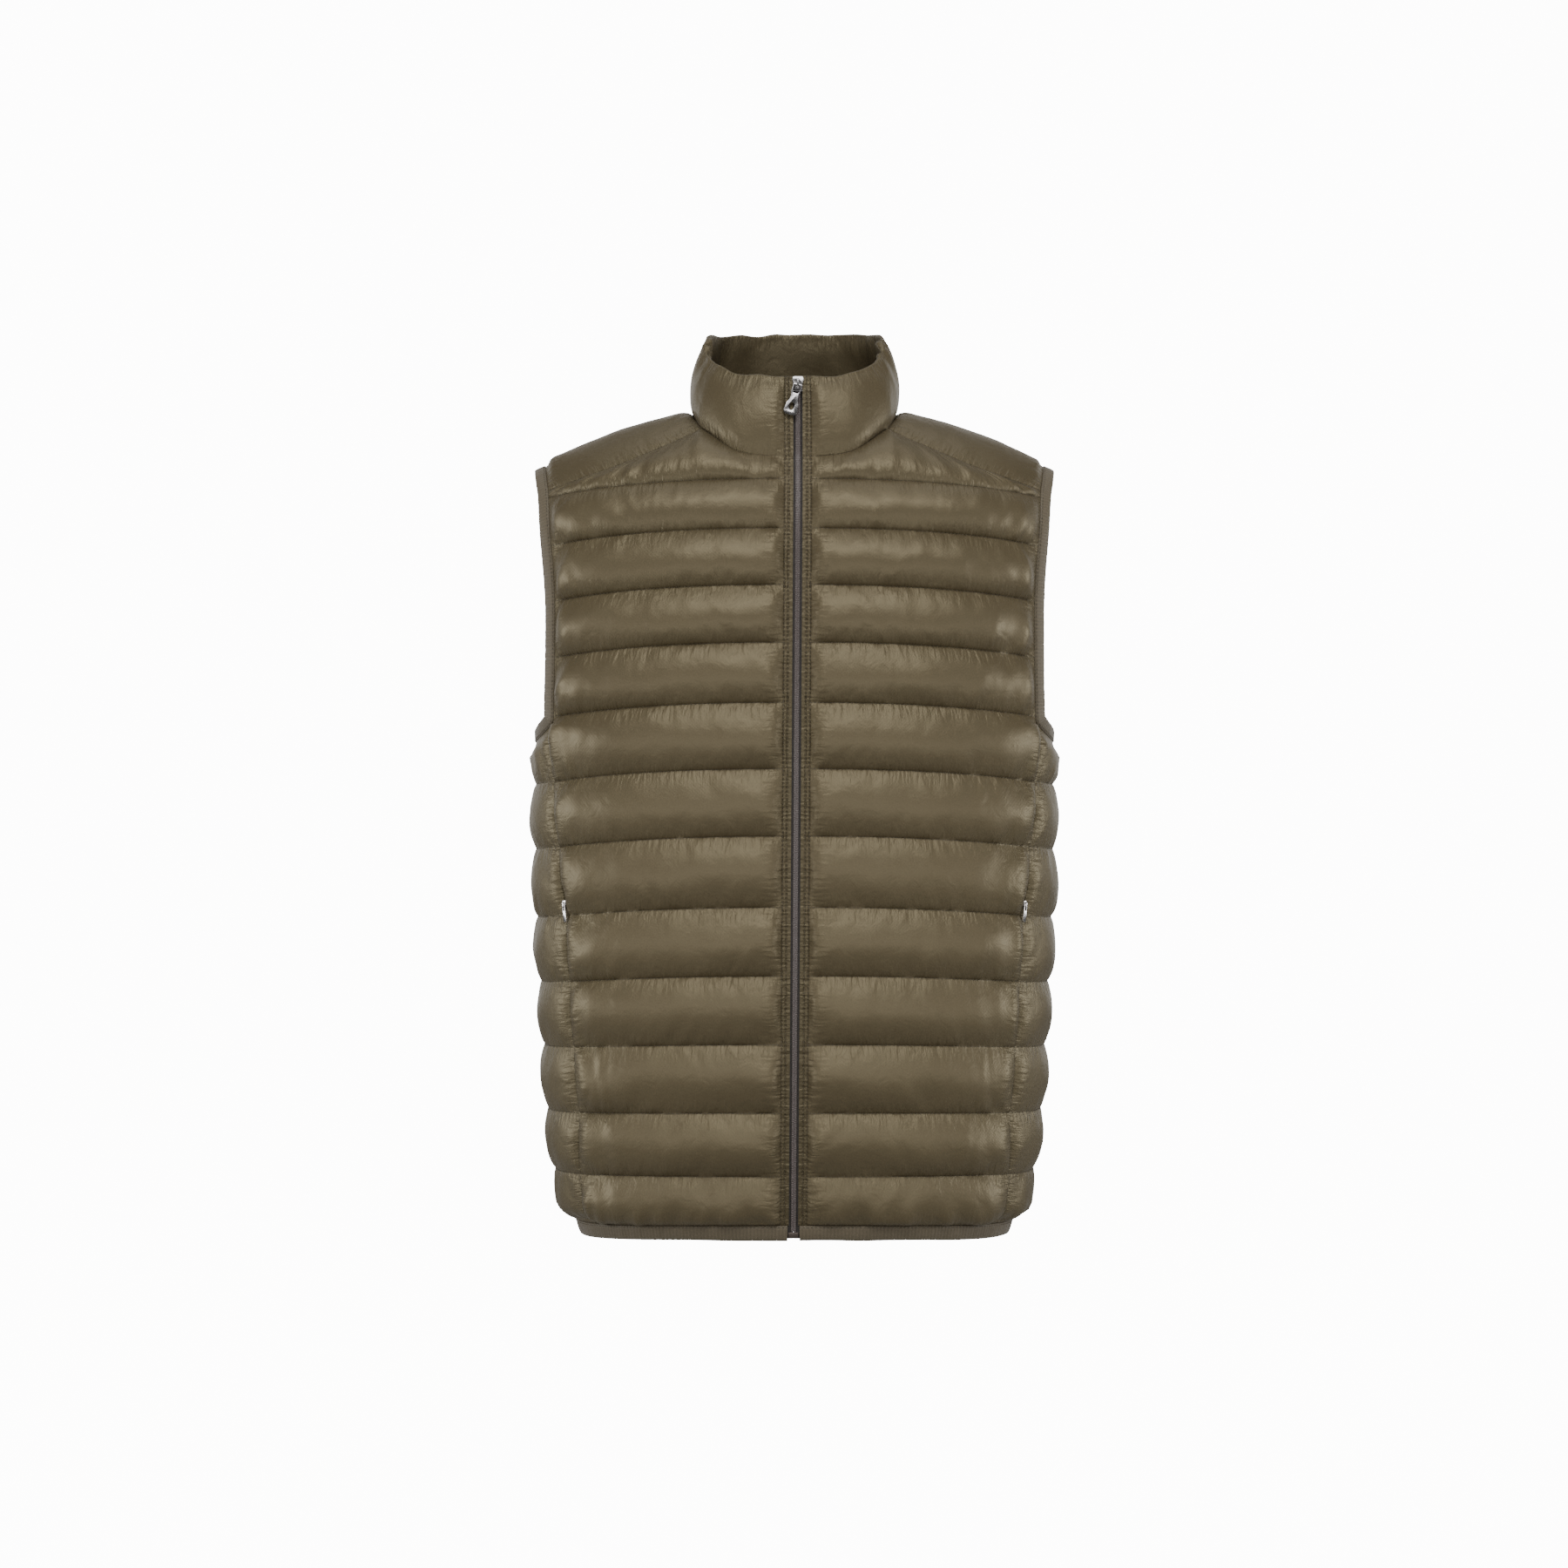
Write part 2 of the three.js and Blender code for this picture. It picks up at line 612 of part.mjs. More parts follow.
function sliderGeometry() {
  const half = SLIDER.length / 2;
  const outline = outlineOf([
    [-SLIDER.bottomHalf, -half], [SLIDER.bottomHalf, -half], [SLIDER.bottomHalf, 0],
    [SLIDER.topHalf, half - 2.5], [SLIDER.topHalf - 1.2, half], [1 - SLIDER.topHalf, half],
    [-SLIDER.topHalf, half - 2.5], [-SLIDER.bottomHalf, 0],
  ]);
  const face = SLIDER.clear + SLIDER.plate;
  return fused([
    plateGeometry(outline, -face, -SLIDER.clear),
    plateGeometry(outline, SLIDER.back, SLIDER.back + SLIDER.backPlate),
    boxBetween([-SLIDER.wedgeHalf, -face + 0.3, SLIDER.wedgeStart],
      [SLIDER.wedgeHalf, SLIDER.back + SLIDER.backPlate / 2, half - 0.4]),
    archGeometry(ARCH, face),
  ]);
}

// Pull tab with its cross bar at the origin and its foot hanging down
function pullGeometry() {
  const { thickness, length, loopHalf, waistHalf, footHalf, windowHalf, windowLength } = PULL;
  const bar = thickness / 2;
  const outline = new THREE.Shape();
  outline.moveTo(-loopHalf + 1, bar);
  outline.quadraticCurveTo(-loopHalf, bar, -loopHalf, bar - 1.4);
  outline.lineTo(-loopHalf, -windowLength);
  outline.quadraticCurveTo(-waistHalf, -windowLength - 1.5, -waistHalf, -windowLength - 3.5);
  outline.quadraticCurveTo(-waistHalf, -14, -footHalf + 0.6, -17);
  outline.lineTo(-footHalf, -length + 3);
  outline.quadraticCurveTo(-footHalf, -length, 0, -length);
  outline.quadraticCurveTo(footHalf, -length, footHalf, -length + 3);
  outline.lineTo(footHalf - 0.6, -17);
  outline.quadraticCurveTo(waistHalf, -14, waistHalf, -windowLength - 3.5);
  outline.quadraticCurveTo(waistHalf, -windowLength - 1.5, loopHalf, -windowLength);
  outline.lineTo(loopHalf, bar - 1.4);
  outline.quadraticCurveTo(loopHalf, bar, loopHalf - 1, bar);
  const window = new THREE.Path();
  window.moveTo(-windowHalf, -bar);
  window.lineTo(windowHalf, -bar);
  window.lineTo(windowHalf, -windowLength + 1);
  window.lineTo(windowHalf - 1, -windowLength + 0.3);
  window.lineTo(1 - windowHalf, -windowLength + 0.3);
  window.lineTo(-windowHalf, -windowLength + 1);
  const oval = new THREE.Path(Array.from({ length: OVAL_SIDES }, (_, i) => {
    const angle = (i / OVAL_SIDES) * 2 * Math.PI;
    return new THREE.Vector2(PULL.ovalHalf * Math.cos(angle), PULL.ovalLong * Math.sin(angle) - PULL.ovalCentre);
  }));
  outline.holes.push(window, oval);
  return plateGeometry(outline, -bar, bar);
}

function pocketSliderGeometry() {
  const { half, length, plate, clear } = POCKET_SLIDER;
  const outline = outlineOf([
    [-half + 0.5, -length / 2], [half - 0.5, -length / 2], [half, 0], [half, length / 2],
    [-half, length / 2], [-half, 0],
  ]);
  return fused([
    plateGeometry(outline, -clear - plate, -clear),
    archGeometry(POCKET_ARCH, clear + plate),
  ]);
}

function pocketPullGeometry() {
  const { thickness, half, window, length } = POCKET_PULL;
  const bar = thickness / 2;
  const outline = outlineOf([
    [-half, bar], [-half, -length + 1], [-half + 0.8, -length], [half - 0.8, -length],
    [half, -length + 1], [half, bar],
  ]);
  const eye = new THREE.Path();
  eye.moveTo(-half + 0.8, -bar);
  eye.lineTo(half - 0.8, -bar);
  eye.lineTo(half - 0.8, -window);
  eye.lineTo(-half + 0.8, -window);
  outline.holes.push(eye);
  return plateGeometry(outline, -bar, bar);
}

function clothMaterial(colour) {
  return new THREE.MeshStandardMaterial({ color: colour, roughness: 0.42, metalness: 0 });
}

function metalMaterial() {
  return new THREE.MeshStandardMaterial({ color: METAL_COLOUR, roughness: 0.25, metalness: 1 });
}

const vest = new THREE.Group();

function addMesh(name, geometry, material, parent = vest) {
  const mesh = new THREE.Mesh(geometry, material);
  mesh.name = name;
  parent.add(mesh);
  return mesh;
}

// Panels, in raw grids first because their edges carry the bindings, the collar and the zips
const rawFronts = { left: frontGrid(1), right: frontGrid(-1) };
const rawSide = sideGrid();
const rawBack = halfBackGrid();
const shoulderFront = rawFronts.left.at(-1).slice(FRONT_NECK_COLUMN);
const shoulderBack = rawBack.at(-1).slice(BACK_NECK_COLUMN, BACK_COLUMNS.length);
const rawShoulder = shoulderGrid(shoulderFront, shoulderBack);

const EDGE = {
  zip: { flat: ZIP_FLAT, soft: 14 },
  seam: { flat: 0, soft: 13 },
  armhole: { flat: 0, soft: 15 },
  neck: { flat: 0, soft: 14 },
  none: { flat: -1, soft: 1 },
};

// The lower edge of the armhole flattens the last step of the side panel
function flattenLastRow(grid, columns) {
  grid.at(-1).slice(0, columns).forEach((placed) => {
    placed.rise = 0;
  });
}

const cloneGrid = (grid) => grid.map((row) => row.map((placed) => placed && {
  ...placed,
  point: placed.point.clone(),
  normal: placed.normal.clone(),
}));

function frontPanel(grid) {
  const panel = cloneGrid(grid);
  taperRows(panel, EDGE.zip, EDGE.seam);
  return drawInExceptZip(panel);
}

// The zip edge already stands clear of the zip, so only the other edges draw in
function drawInExceptZip(grid) {
  const inner = grid.map((row) => row[0].point.clone());
  drawIn(grid).forEach((row, r) => {
    row[0].point.x = inner[r].x;
  });
  return grid;
}

['left', 'right'].forEach((name) => {
  const geometry = wallGeometry(frontPanel(rawFronts[name]), WALL);
  addMesh(`front_${name}`, name === 'left' ? geometry : mirrored(geometry), clothMaterial(CLOTH_COLOUR));
});

const sidePanel = cloneGrid(rawSide);
sidePanel.flat().forEach((placed) => {
  placed.rise *= SIDE_PADDING / PADDING;
});
taperRows(sidePanel, EDGE.seam, EDGE.seam);
flattenLastRow(sidePanel, SIDE_COLUMNS.length);
const sideGeometry = wallGeometry(drawIn(sidePanel), WALL);
addMesh('side_left', sideGeometry, clothMaterial(CLOTH_COLOUR));
addMesh('side_right', mirrored(sideGeometry), clothMaterial(CLOTH_COLOUR));

// Whole back: the half grid and its mirror image, columns from the wearer's left to the right
const backPanel = rawBack.map((row) => {
  const half = row.map((placed) => placed && { ...placed, point: placed.point.clone() });
  const other = row.slice(1).map((placed) => placed && { ...mirroredPoint(placed), rise: placed.rise });
  return [...half.reverse(), ...other];
});
taperRows(backPanel, EDGE.seam, EDGE.seam);
backPanel[ARMHOLE_ROW].forEach((placed, c) => {
  if (!backPanel[ARMHOLE_ROW + 1][c]) placed.rise = 0;
});
addMesh('back', wallGeometry(drawIn(backPanel), WALL), clothMaterial(CLOTH_COLOUR));

const shoulderPanel = cloneGrid(rawShoulder);
taperRows(shoulderPanel, EDGE.neck, EDGE.armhole);
const shoulderGeometry = wallGeometry(drawIn(shoulderPanel), WALL);
addMesh('shoulder_left', shoulderGeometry, clothMaterial(CLOTH_COLOUR));
addMesh('shoulder_right', mirrored(shoulderGeometry), clothMaterial(CLOTH_COLOUR));

// Armhole bindings: up the front edge, over the shoulder, down the back and under the arm
const armholeRun = [
  ...rawFronts.left.slice(ARMHOLE_ROW).map((row) => row.at(-1)),
  ...rawShoulder.slice(1).map((row) => row.at(-1)),
  ...rawBack.slice(ARMHOLE_ROW, -1).map((row) => row[BACK_COLUMNS.length - 1]).reverse(),
  ...rawBack[ARMHOLE_ROW].slice(BACK_COLUMNS.length),
  ...rawSide[ARMHOLE_ROW].slice(1, -1).reverse(),
];
const armholeGeometry = bindingGeometry(
  withAway(armholeRun, true, -1, ARMHOLE_BINDING_FLARE), ARMHOLE_BINDING_WIDTH, true);
addMesh('armhole_binding_left', armholeGeometry, clothMaterial(BINDING_COLOUR));
addMesh('armhole_binding_right', mirrored(armholeGeometry), clothMaterial(BINDING_COLOUR));

// Hem binding: from the left zip edge round the back to the right one
const halfHem = (front) => [...front[0], ...rawSide[0].slice(1), ...rawBack[0].slice(0, -1).reverse()];
const hemRun = [
  ...halfHem(rawFronts.left),
  ...halfHem(rawFronts.right).slice(0, -1).reverse().map(mirroredPoint),
];
const hemStations = withAway(hemRun, false, -1, 0);
hemStations[0].point = hemStations[0].point.clone().add(new THREE.Vector3(HEM_END, 0, 0));
hemStations.at(-1).point = hemStations.at(-1).point.clone().sub(new THREE.Vector3(HEM_END, 0, 0));
addMesh('hem_binding', bindingGeometry(hemStations, QUILT_LINES[0] - HEM_BOTTOM, false),
  clothMaterial(BINDING_COLOUR));

// Collar: stands off the neck edge of the fronts, shoulders and back
function neckRun(front) {
  return [
    ...front.at(-1).slice(0, FRONT_NECK_COLUMN),
    ...rawShoulder.map((row) => row[0]),
    ...rawBack.at(-1).slice(0, BACK_NECK_COLUMN).reverse(),
  ];
}
const neckPoints = [
  ...neckRun(rawFronts.left),
  ...neckRun(rawFronts.right).slice(0, -1).reverse().map(mirroredPoint),
];

function collarTopPoint(base, index, last) {
  const { halfWidth, halfDepth, centreY, roundness } = COLLAR_TOP;
  const angle = Math.atan2(Math.abs(base.x), centreY - base.y);
  const reach = ((Math.sin(angle) / halfWidth) ** roundness
    + Math.abs(Math.cos(angle) / halfDepth) ** roundness) ** (-1 / roundness);
  const z = tableValue(COLLAR_EDGE, 'angle', angle / DEG, 'z');
  const x = index === 0 || index === last ? base.x : Math.sign(base.x) * Math.sin(angle) * reach;
  return new THREE.Vector3(x, centreY - Math.cos(angle) * reach, z);
}

function collarGrid() {
  const stations = withAway(neckPoints, false, 1, 0);
  const last = stations.length - 1;
  const columns = stations.map(({ point, away }, i) => {
    const base = point.clone().addScaledVector(away, SEAM_GAP);
    return { base, top: collarTopPoint(base, i, last) };
  });
  return COLLAR_ROWS.map(({ share, rise }) => columns.map(({ base, top }, i) => {
    const before = columns[Math.max(i - 1, 0)];
    const next = columns[Math.min(i + 1, last)];
    const along = next.top.clone().sub(before.top).add(next.base).sub(before.base).setZ(0).normalize();
    const outward = new THREE.Vector3(along.y, -along.x, 0);
    return { point: base.clone().lerp(top, share), normal: outward, rise: rise * COLLAR_PADDING };
  }));
}

const rawCollar = collarGrid();
const collarPanel = cloneGrid(rawCollar);
taperRows(collarPanel, EDGE.zip, EDGE.zip);
addMesh('collar', wallGeometry(collarPanel, COLLAR_WALL), clothMaterial(CLOTH_COLOUR));

// Zip tapes behind the inner edges of fronts and collar, and the chain between them
function zipStations(side) {
  const front = side > 0 ? rawFronts.left : rawFronts.right;
  const collar = rawCollar.map((row) => (side > 0 ? row.slice(0, 2)
    : row.slice(-2).reverse().map(mirroredPoint)));
  const panel = front.map((row) => ({ near: row[0], far: row[1], wall: WALL }));
  return panel.concat(collar.map(([near, far]) => ({ near, far, wall: COLLAR_WALL })));
}

function tapeGeometry(side) {
  const rings = zipStations(side).map(({ near, far, wall }) => {
    const edge = near.point.x;
    const at = (fromZip, depth) => {
      const share = (fromZip - ZIP_EDGE) / (far.point.x - edge);
      return near.point.clone().lerp(far.point, share).addScaledVector(near.normal, -wall - depth);
    };
    const back = TAPE.gap + TAPE.thickness;
    return [at(TAPE.inner, TAPE.gap), at(TAPE.inner, back), at(TAPE.outer, back), at(TAPE.outer, TAPE.gap)];
  });
  return sweptGeometry(rings, false);
}

addMesh('zip_tape_left', tapeGeometry(1), clothMaterial(TAPE_COLOUR));
addMesh('zip_tape_right', mirrored(tapeGeometry(-1)), clothMaterial(TAPE_COLOUR));

const chainTop = SLIDER.z + SLIDER.wedgeStart - SLIDER.chainClear;
const chainCentres = zipStations(1).map(({ near }) => new THREE.Vector3(
  near.point.x - ZIP_EDGE, near.point.y, near.point.z));
const chainPath = [];
chainCentres.forEach((centre, i) => {
  const next = chainCentres[i + 1];
  const cut = (z) => centre.clone().lerp(next, (z - centre.z) / (next.z - centre.z));
  if (i === 0) chainPath.push(centre.clone().setZ(CHAIN_BOTTOM));
  else if (centre.z < chainTop && centre.z - chainPath.at(-1).z > 1) chainPath.push(centre);
  if (next && centre.z < chainTop && next.z >= chainTop) chainPath.push(cut(chainTop));
});
const chainRings = chainPath.map((centre) => {
  const at = (x, y) => new THREE.Vector3(centre.x + x, centre.y + y, centre.z);
  const { halfWidth, recess, depth } = CHAIN;
  return [
    at(halfWidth, recess), at(-halfWidth, recess), at(-halfWidth, recess + depth), at(halfWidth, recess + depth),
  ];
});
addMesh('zip_chain', sweptGeometry(chainRings, false),
  new THREE.MeshStandardMaterial({ color: CHAIN_COLOUR, roughness: 0.5, metalness: 0.2 }));

const boxTop = CHAIN_BOTTOM - SEAM_GAP;
const boxX = zipLean(HEM_BOTTOM);
const boxY = chainPath[0].y + CHAIN.recess - ZIP_BOX.gap;
addMesh('zip_box', boxBetween(
  [boxX - ZIP_BOX.width / 2, boxY, boxTop - ZIP_BOX.height],
  [boxX + ZIP_BOX.width / 2, boxY + ZIP_BOX.depth, boxTop]), metalMaterial());

// Slider of the centre zip at the top of the collar, with its hanging pull
const collarFoot = rawCollar[0][0].point;
const collarHead = rawCollar.at(-1)[0].point;
const sliderShare = (SLIDER.z - collarFoot.z) / (collarHead.z - collarFoot.z);
const sliderGroup = new THREE.Group();
sliderGroup.position.set(ZIP_LEAN.topX, lerp(collarFoot.y, collarHead.y, sliderShare), SLIDER.z);
sliderGroup.rotation.x = -Math.atan2(collarHead.y - collarFoot.y, collarHead.z - collarFoot.z);
vest.add(sliderGroup);
addMesh('zip_slider', sliderGeometry(), metalMaterial(), sliderGroup);
const pull = addMesh('zip_pull', pullGeometry(), metalMaterial(), sliderGroup);
pull.position.set(0, -PULL.pivotOut, PULL.pivotZ);
pull.rotation.y = PULL.tilt * DEG;

// Pocket zips behind the front side seams, each with a small slider at its top
function pocketTape() {
  const rings = sideRows.flatMap(({ row }, r) => {
    if (row > POCKET.top || row < POCKET.bottom) return [];
    const seam = rawSide[r][0];
    const at = (neighbour, depth) => {
      const share = POCKET.halfWidth / neighbour.point.distanceTo(seam.point);
      const normal = seam.normal.clone().lerp(neighbour.normal, share);
      return seam.point.clone().lerp(neighbour.point, share).addScaledVector(normal, -WALL - depth);
    };
    const [front, side] = [rawFronts.left[r].at(-2), rawSide[r][1]];
    const back = POCKET.gap + POCKET.thickness;
    const middle = (depth) => seam.point.clone().addScaledVector(seam.normal, -WALL - depth);
    return [[
      at(front, POCKET.gap), middle(POCKET.gap), at(side, POCKET.gap),
      at(side, back), middle(back), at(front, back),
    ].reverse()];
  });
  return sweptGeometry(rings, false);
}

const pocketTapeGeometry = pocketTape();
addMesh('pocket_zip_left', pocketTapeGeometry, clothMaterial(TAPE_COLOUR));
addMesh('pocket_zip_right', mirrored(pocketTapeGeometry), clothMaterial(TAPE_COLOUR));

function pocketFrame(side) {
  const theta = seamAngle(POCKET_SLIDER.row, 'front');
  const at = (row) => bodyPoint(seamAngle(row, 'front'), row - sagAt(seamAngle(row, 'front'), row));
  const flip = new THREE.Vector3(side, 1, 1);
  const normal = onBody(theta, POCKET_SLIDER.row).normal.clone().multiply(flip);
  const up = at(POCKET_SLIDER.row + 8).sub(at(POCKET_SLIDER.row - 8)).multiply(flip).normalize();
  const across = new THREE.Vector3().crossVectors(normal.clone().negate(), up).normalize();
  const upright = new THREE.Vector3().crossVectors(across, normal.clone().negate());
  const group = new THREE.Group();
  group.applyMatrix4(new THREE.Matrix4().makeBasis(across, normal.negate(), upright));
  group.position.copy(at(POCKET_SLIDER.row).multiply(flip));
  return group;
}

[['left', 1], ['right', -1]].forEach(([name, side]) => {
  const group = pocketFrame(side);
  vest.add(group);
  addMesh(`pocket_slider_${name}`, pocketSliderGeometry(), metalMaterial(), group);
  const tab = addMesh(`pocket_pull_${name}`, pocketPullGeometry(), metalMaterial(), group);
  tab.position.set(0, -POCKET_SLIDER.clear - POCKET_SLIDER.plate - POCKET_PULL.pivotOut, POCKET_PULL.pivotZ);
});

export default vest;
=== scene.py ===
# Quilted sleeveless vest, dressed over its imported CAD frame.
# Tables are in millimetres, in the frame of the CAD; meshes are made in metres.
import math
import bmesh
import bpy
import numpy as np
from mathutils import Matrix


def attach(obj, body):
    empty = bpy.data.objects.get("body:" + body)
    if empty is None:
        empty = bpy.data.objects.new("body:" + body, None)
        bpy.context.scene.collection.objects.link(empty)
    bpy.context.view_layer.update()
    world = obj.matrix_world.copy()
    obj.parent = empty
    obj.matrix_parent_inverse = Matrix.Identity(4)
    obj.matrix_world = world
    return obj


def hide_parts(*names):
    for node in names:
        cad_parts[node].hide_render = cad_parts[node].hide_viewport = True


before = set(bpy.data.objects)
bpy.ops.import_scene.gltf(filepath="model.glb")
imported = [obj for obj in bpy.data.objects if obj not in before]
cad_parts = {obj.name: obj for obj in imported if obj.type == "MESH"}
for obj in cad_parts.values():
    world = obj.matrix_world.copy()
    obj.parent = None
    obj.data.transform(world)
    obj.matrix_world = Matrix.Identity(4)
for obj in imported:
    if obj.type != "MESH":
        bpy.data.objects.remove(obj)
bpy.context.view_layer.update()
scene = bpy.context.scene
degree = math.pi / 180

# Body of the vest: sections are (z, half width, front depth, back depth)
bodyShape = {
    "roundness": 2.4,
    "sections": [
        (-688, 197, 113, 113), (-677, 200, 115, 115), (-636, 208, 119, 119), (-583, 214, 122, 122),
        (-526, 217, 124, 124), (-469, 220, 125, 125), (-412, 223, 125, 126), (-353, 224, 125, 127),
        (-297, 224, 125, 127), (-242, 224, 125, 126), (-192, 224, 124, 125), (-144, 224, 121, 124),
        (-96, 227, 115, 121), (-54, 229, 103, 114), (-34, 231, 94, 108), (10, 233, 84, 92), (40, 235, 76, 80),
    ],
    "hemDraw": (9, -671, 9), "ridgeY": 5, "ridgeTop": 20, "ridgeFall": 880, "crownHeight": 70,
    "neckHalfWidth": 88, "neckRise": 22,
}

quilting = {
    "lines": [-677, -636, -583, -526, -469, -412, -353, -297, -242, -192, -144, -96.5, -54],
    "sag": [(-688, 8), (-677, 7.5), (-636, 5), (-526, 8), (-420, 12), (-96, 13), (-54, 13)],
    "padding": 9.5, "paddingShare": 0.2, "sidePadding": 5.5, "shoulderPadding": 4.2, "collarPadding": 7,
    "crestShape": 0.86, "crestRange": (0.8, 0.98), "crestFullness": 0.9, "hemCrest": 0.66,
    "wall": 2.0, "collarWall": 2.6, "seamGap": 0.04,
    "rowsPerBaffle": 18, "topRows": 18,
}

seams = {
    "armholeBaffle": 7, "armholeShare": 0.65, "armholeFront": 65, "armholeHollow": 2, "armholeBack": 115.5,
    "armholeLift": 12, "tipX": 211, "tipBow": 5,
    "front": [(-688, 60), (-636, 57.5), (-583, 55), (-526, 56), (-469, 56.5), (-412, 57),
              (-353, 60), (-252, 65)],
    "back": [(-688, 120), (-636, 118), (-583, 116), (-526, 113), (-469, 109), (-412, 104),
             (-353, 98), (-252, 92)],
    "frontNeck": [(0, -34), (25, -33.5), (51, -28), (79, -7)],
    "frontYoke": [(79, 20.7), (105, 28), (150, 34), (184, 32), (211, 28)],
    "backNeck": [(0, 14), (45, 12), (79, 6)],
    "backYoke": [(79, 7.6), (110, 22), (150, 32), (211, 28)],
    "underarmSpan": [(-688, 12), (-252, 23.5)],
    "zipEdge": 3.9, "zipLean": [(-688, -1.2), (-34, 2.8)],
}

collarShape = {
    "halfWidth": 76.8, "halfDepth": 75, "centreY": -9, "roundness": 2.3,
    "edge": [(0, 33), (30, 34), (45, 40), (60, 49), (75, 59), (88, 71), (100, 79), (130, 85), (180, 90)],
    "swell": [(0, 0), (0.2, 0.72), (0.5, 1), (0.8, 0.72), (1, 0.12)],
}


def tableValue(table, at, column=1):  # smooth curve through the rows of a table, held at both ends
    keys = np.array([row[0] for row in table], float)
    values = np.array([row[column] for row in table], float)
    at = np.clip(np.asarray(at, float), keys[0], keys[-1])
    i = np.clip(np.searchsorted(keys, at, side="right") - 1, 0, len(keys) - 2)
    order = np.arange(len(keys))
    low, high = np.maximum(order - 1, 0), np.minimum(order + 1, len(keys) - 1)
    slopes = (values[high] - values[low]) / (keys[high] - keys[low])
    span = keys[i + 1] - keys[i]
    t = (at - keys[i]) / span
    blend = t * t * (3 - 2 * t)
    return (values[i] + (values[i + 1] - values[i]) * blend + (t ** 3 - 2 * t * t + t) * slopes[i] * span
            + (t ** 3 - t * t) * slopes[i + 1] * span)


def smooth(t):
    t = np.clip(t, 0, 1)
    return t * t * (3 - 2 * t)


def unit(vectors):
    return vectors / np.maximum(np.linalg.norm(vectors, axis=-1, keepdims=True), 1e-9)


def crown(x):  # height of the shoulder ridge
    inside = np.maximum(0, 1 - (x / bodyShape["neckHalfWidth"]) ** 2)
    return bodyShape["ridgeTop"] - x * x / bodyShape["ridgeFall"] + bodyShape["neckRise"] * inside ** 2


def section(z, column):
    value = tableValue(bodyShape["sections"], z, column)
    if column == 1:
        draw, start, reach = bodyShape["hemDraw"]
        value = value - draw * smooth((start - z) / reach)
    return value


def bodyPoint(theta, z):  # 0 is the centre front, pi the centre back
    power = 2 / bodyShape["roundness"]
    x = section(z, 1) * np.sign(np.sin(theta)) * np.abs(np.sin(theta)) ** power
    share = np.abs(np.cos(theta)) ** power
    ring = np.where(np.cos(theta) > 0, -section(z, 2) * share, section(z, 3) * share)
    drop = np.clip((crown(x) - z) / bodyShape["crownHeight"], 0, 1)
    ridge = bodyShape["ridgeY"]
    return np.stack([x, ridge + (ring - ridge) * np.sqrt(1 - (1 - drop) ** 2), z + 0 * x], -1)


def shoulderPoint(x, phi):
    z = crown(x) - bodyShape["crownHeight"] * (1 - np.cos(phi))
    rounded = bodyShape["roundness"]
    share = np.maximum(0, 1 - (x / section(z, 1)) ** rounded) ** (1 / rounded)
    ring = np.where(phi < 0, -section(z, 2) * share, section(z, 3) * share)
    ridge = bodyShape["ridgeY"]
    return np.stack([x + 0 * phi, ridge + (ring - ridge) * np.abs(np.sin(phi)), z], -1)


def outward(surface, u, v, du, dv):
    along = surface(u + du, v) - surface(u - du, v)
    across = surface(u, v + dv) - surface(u, v - dv)
    return unit(np.cross(along, across))


def angleAt(x, z, isBack):
    share = np.clip(x / section(z, 1), 0, 1)
    angle = np.arcsin(share ** (bodyShape["roundness"] / 2))
    return np.pi - angle if isBack else angle


def seamAngle(row, name):
    return tableValue(seams[name], row) * degree


def zipLean(z):
    (lowZ, lowX), (highZ, highX) = seams["zipLean"]
    return lowX + (highX - lowX) * np.clip((z - lowZ) / (highZ - lowZ), 0, 1)


def sagAt(theta, row):
    return tableValue(quilting["sag"], row) * np.sin(theta) ** 2


def baffleRise(share, shape=None):
    curve = np.sin(np.pi * np.clip(share, 0, 1) ** (quilting["crestShape"] if shape is None else shape))
    return np.maximum(0, curve) ** quilting["crestFullness"]


# Smooth random values: one table of numbers for each seed, read with cubic steps
randomTables = {}


def noiseTable(seed):
    if seed not in randomTables:
        randomTables[seed] = np.random.default_rng(1000 + seed).uniform(-1, 1, (64, 64))
    return randomTables[seed]


def noise1(x, seed):
    table = noiseTable(seed).ravel()
    x = np.asarray(x, float)
    i = np.floor(x).astype(int)
    t = x - i
    a, b, c, d = (table[(i + k) % table.size] for k in (-1, 0, 1, 2))
    return b + 0.5 * t * (c - a + t * (2 * a - 5 * b + 4 * c - d + t * (3 * (b - c) + d - a)))


def noise2(x, y, seed):
    table = noiseTable(seed)
    x, y = np.broadcast_arrays(np.asarray(x, float), np.asarray(y, float))
    i, j = np.floor(x).astype(int), np.floor(y).astype(int)
    s, t = smooth(x - i), smooth(y - j)
    at = lambda a, b: table[(i + a) % 64, (j + b) % 64]
    return (at(0, 0) * (1 - s) + at(1, 0) * s) * (1 - t) + (at(0, 1) * (1 - s) + at(1, 1) * s) * t


# Gathers beside a seam: (spacing, reach, height) of each size of pucker
gathering = {
    "sizes": [(4.2, 10, 0.62), (7.5, 19, 1.2), (15, 40, 0.8)],
    "lean": 0.75, "rootLength": 1.5, "slant": -0.7, "endReach": 30, "endStrength": 1.5,
}


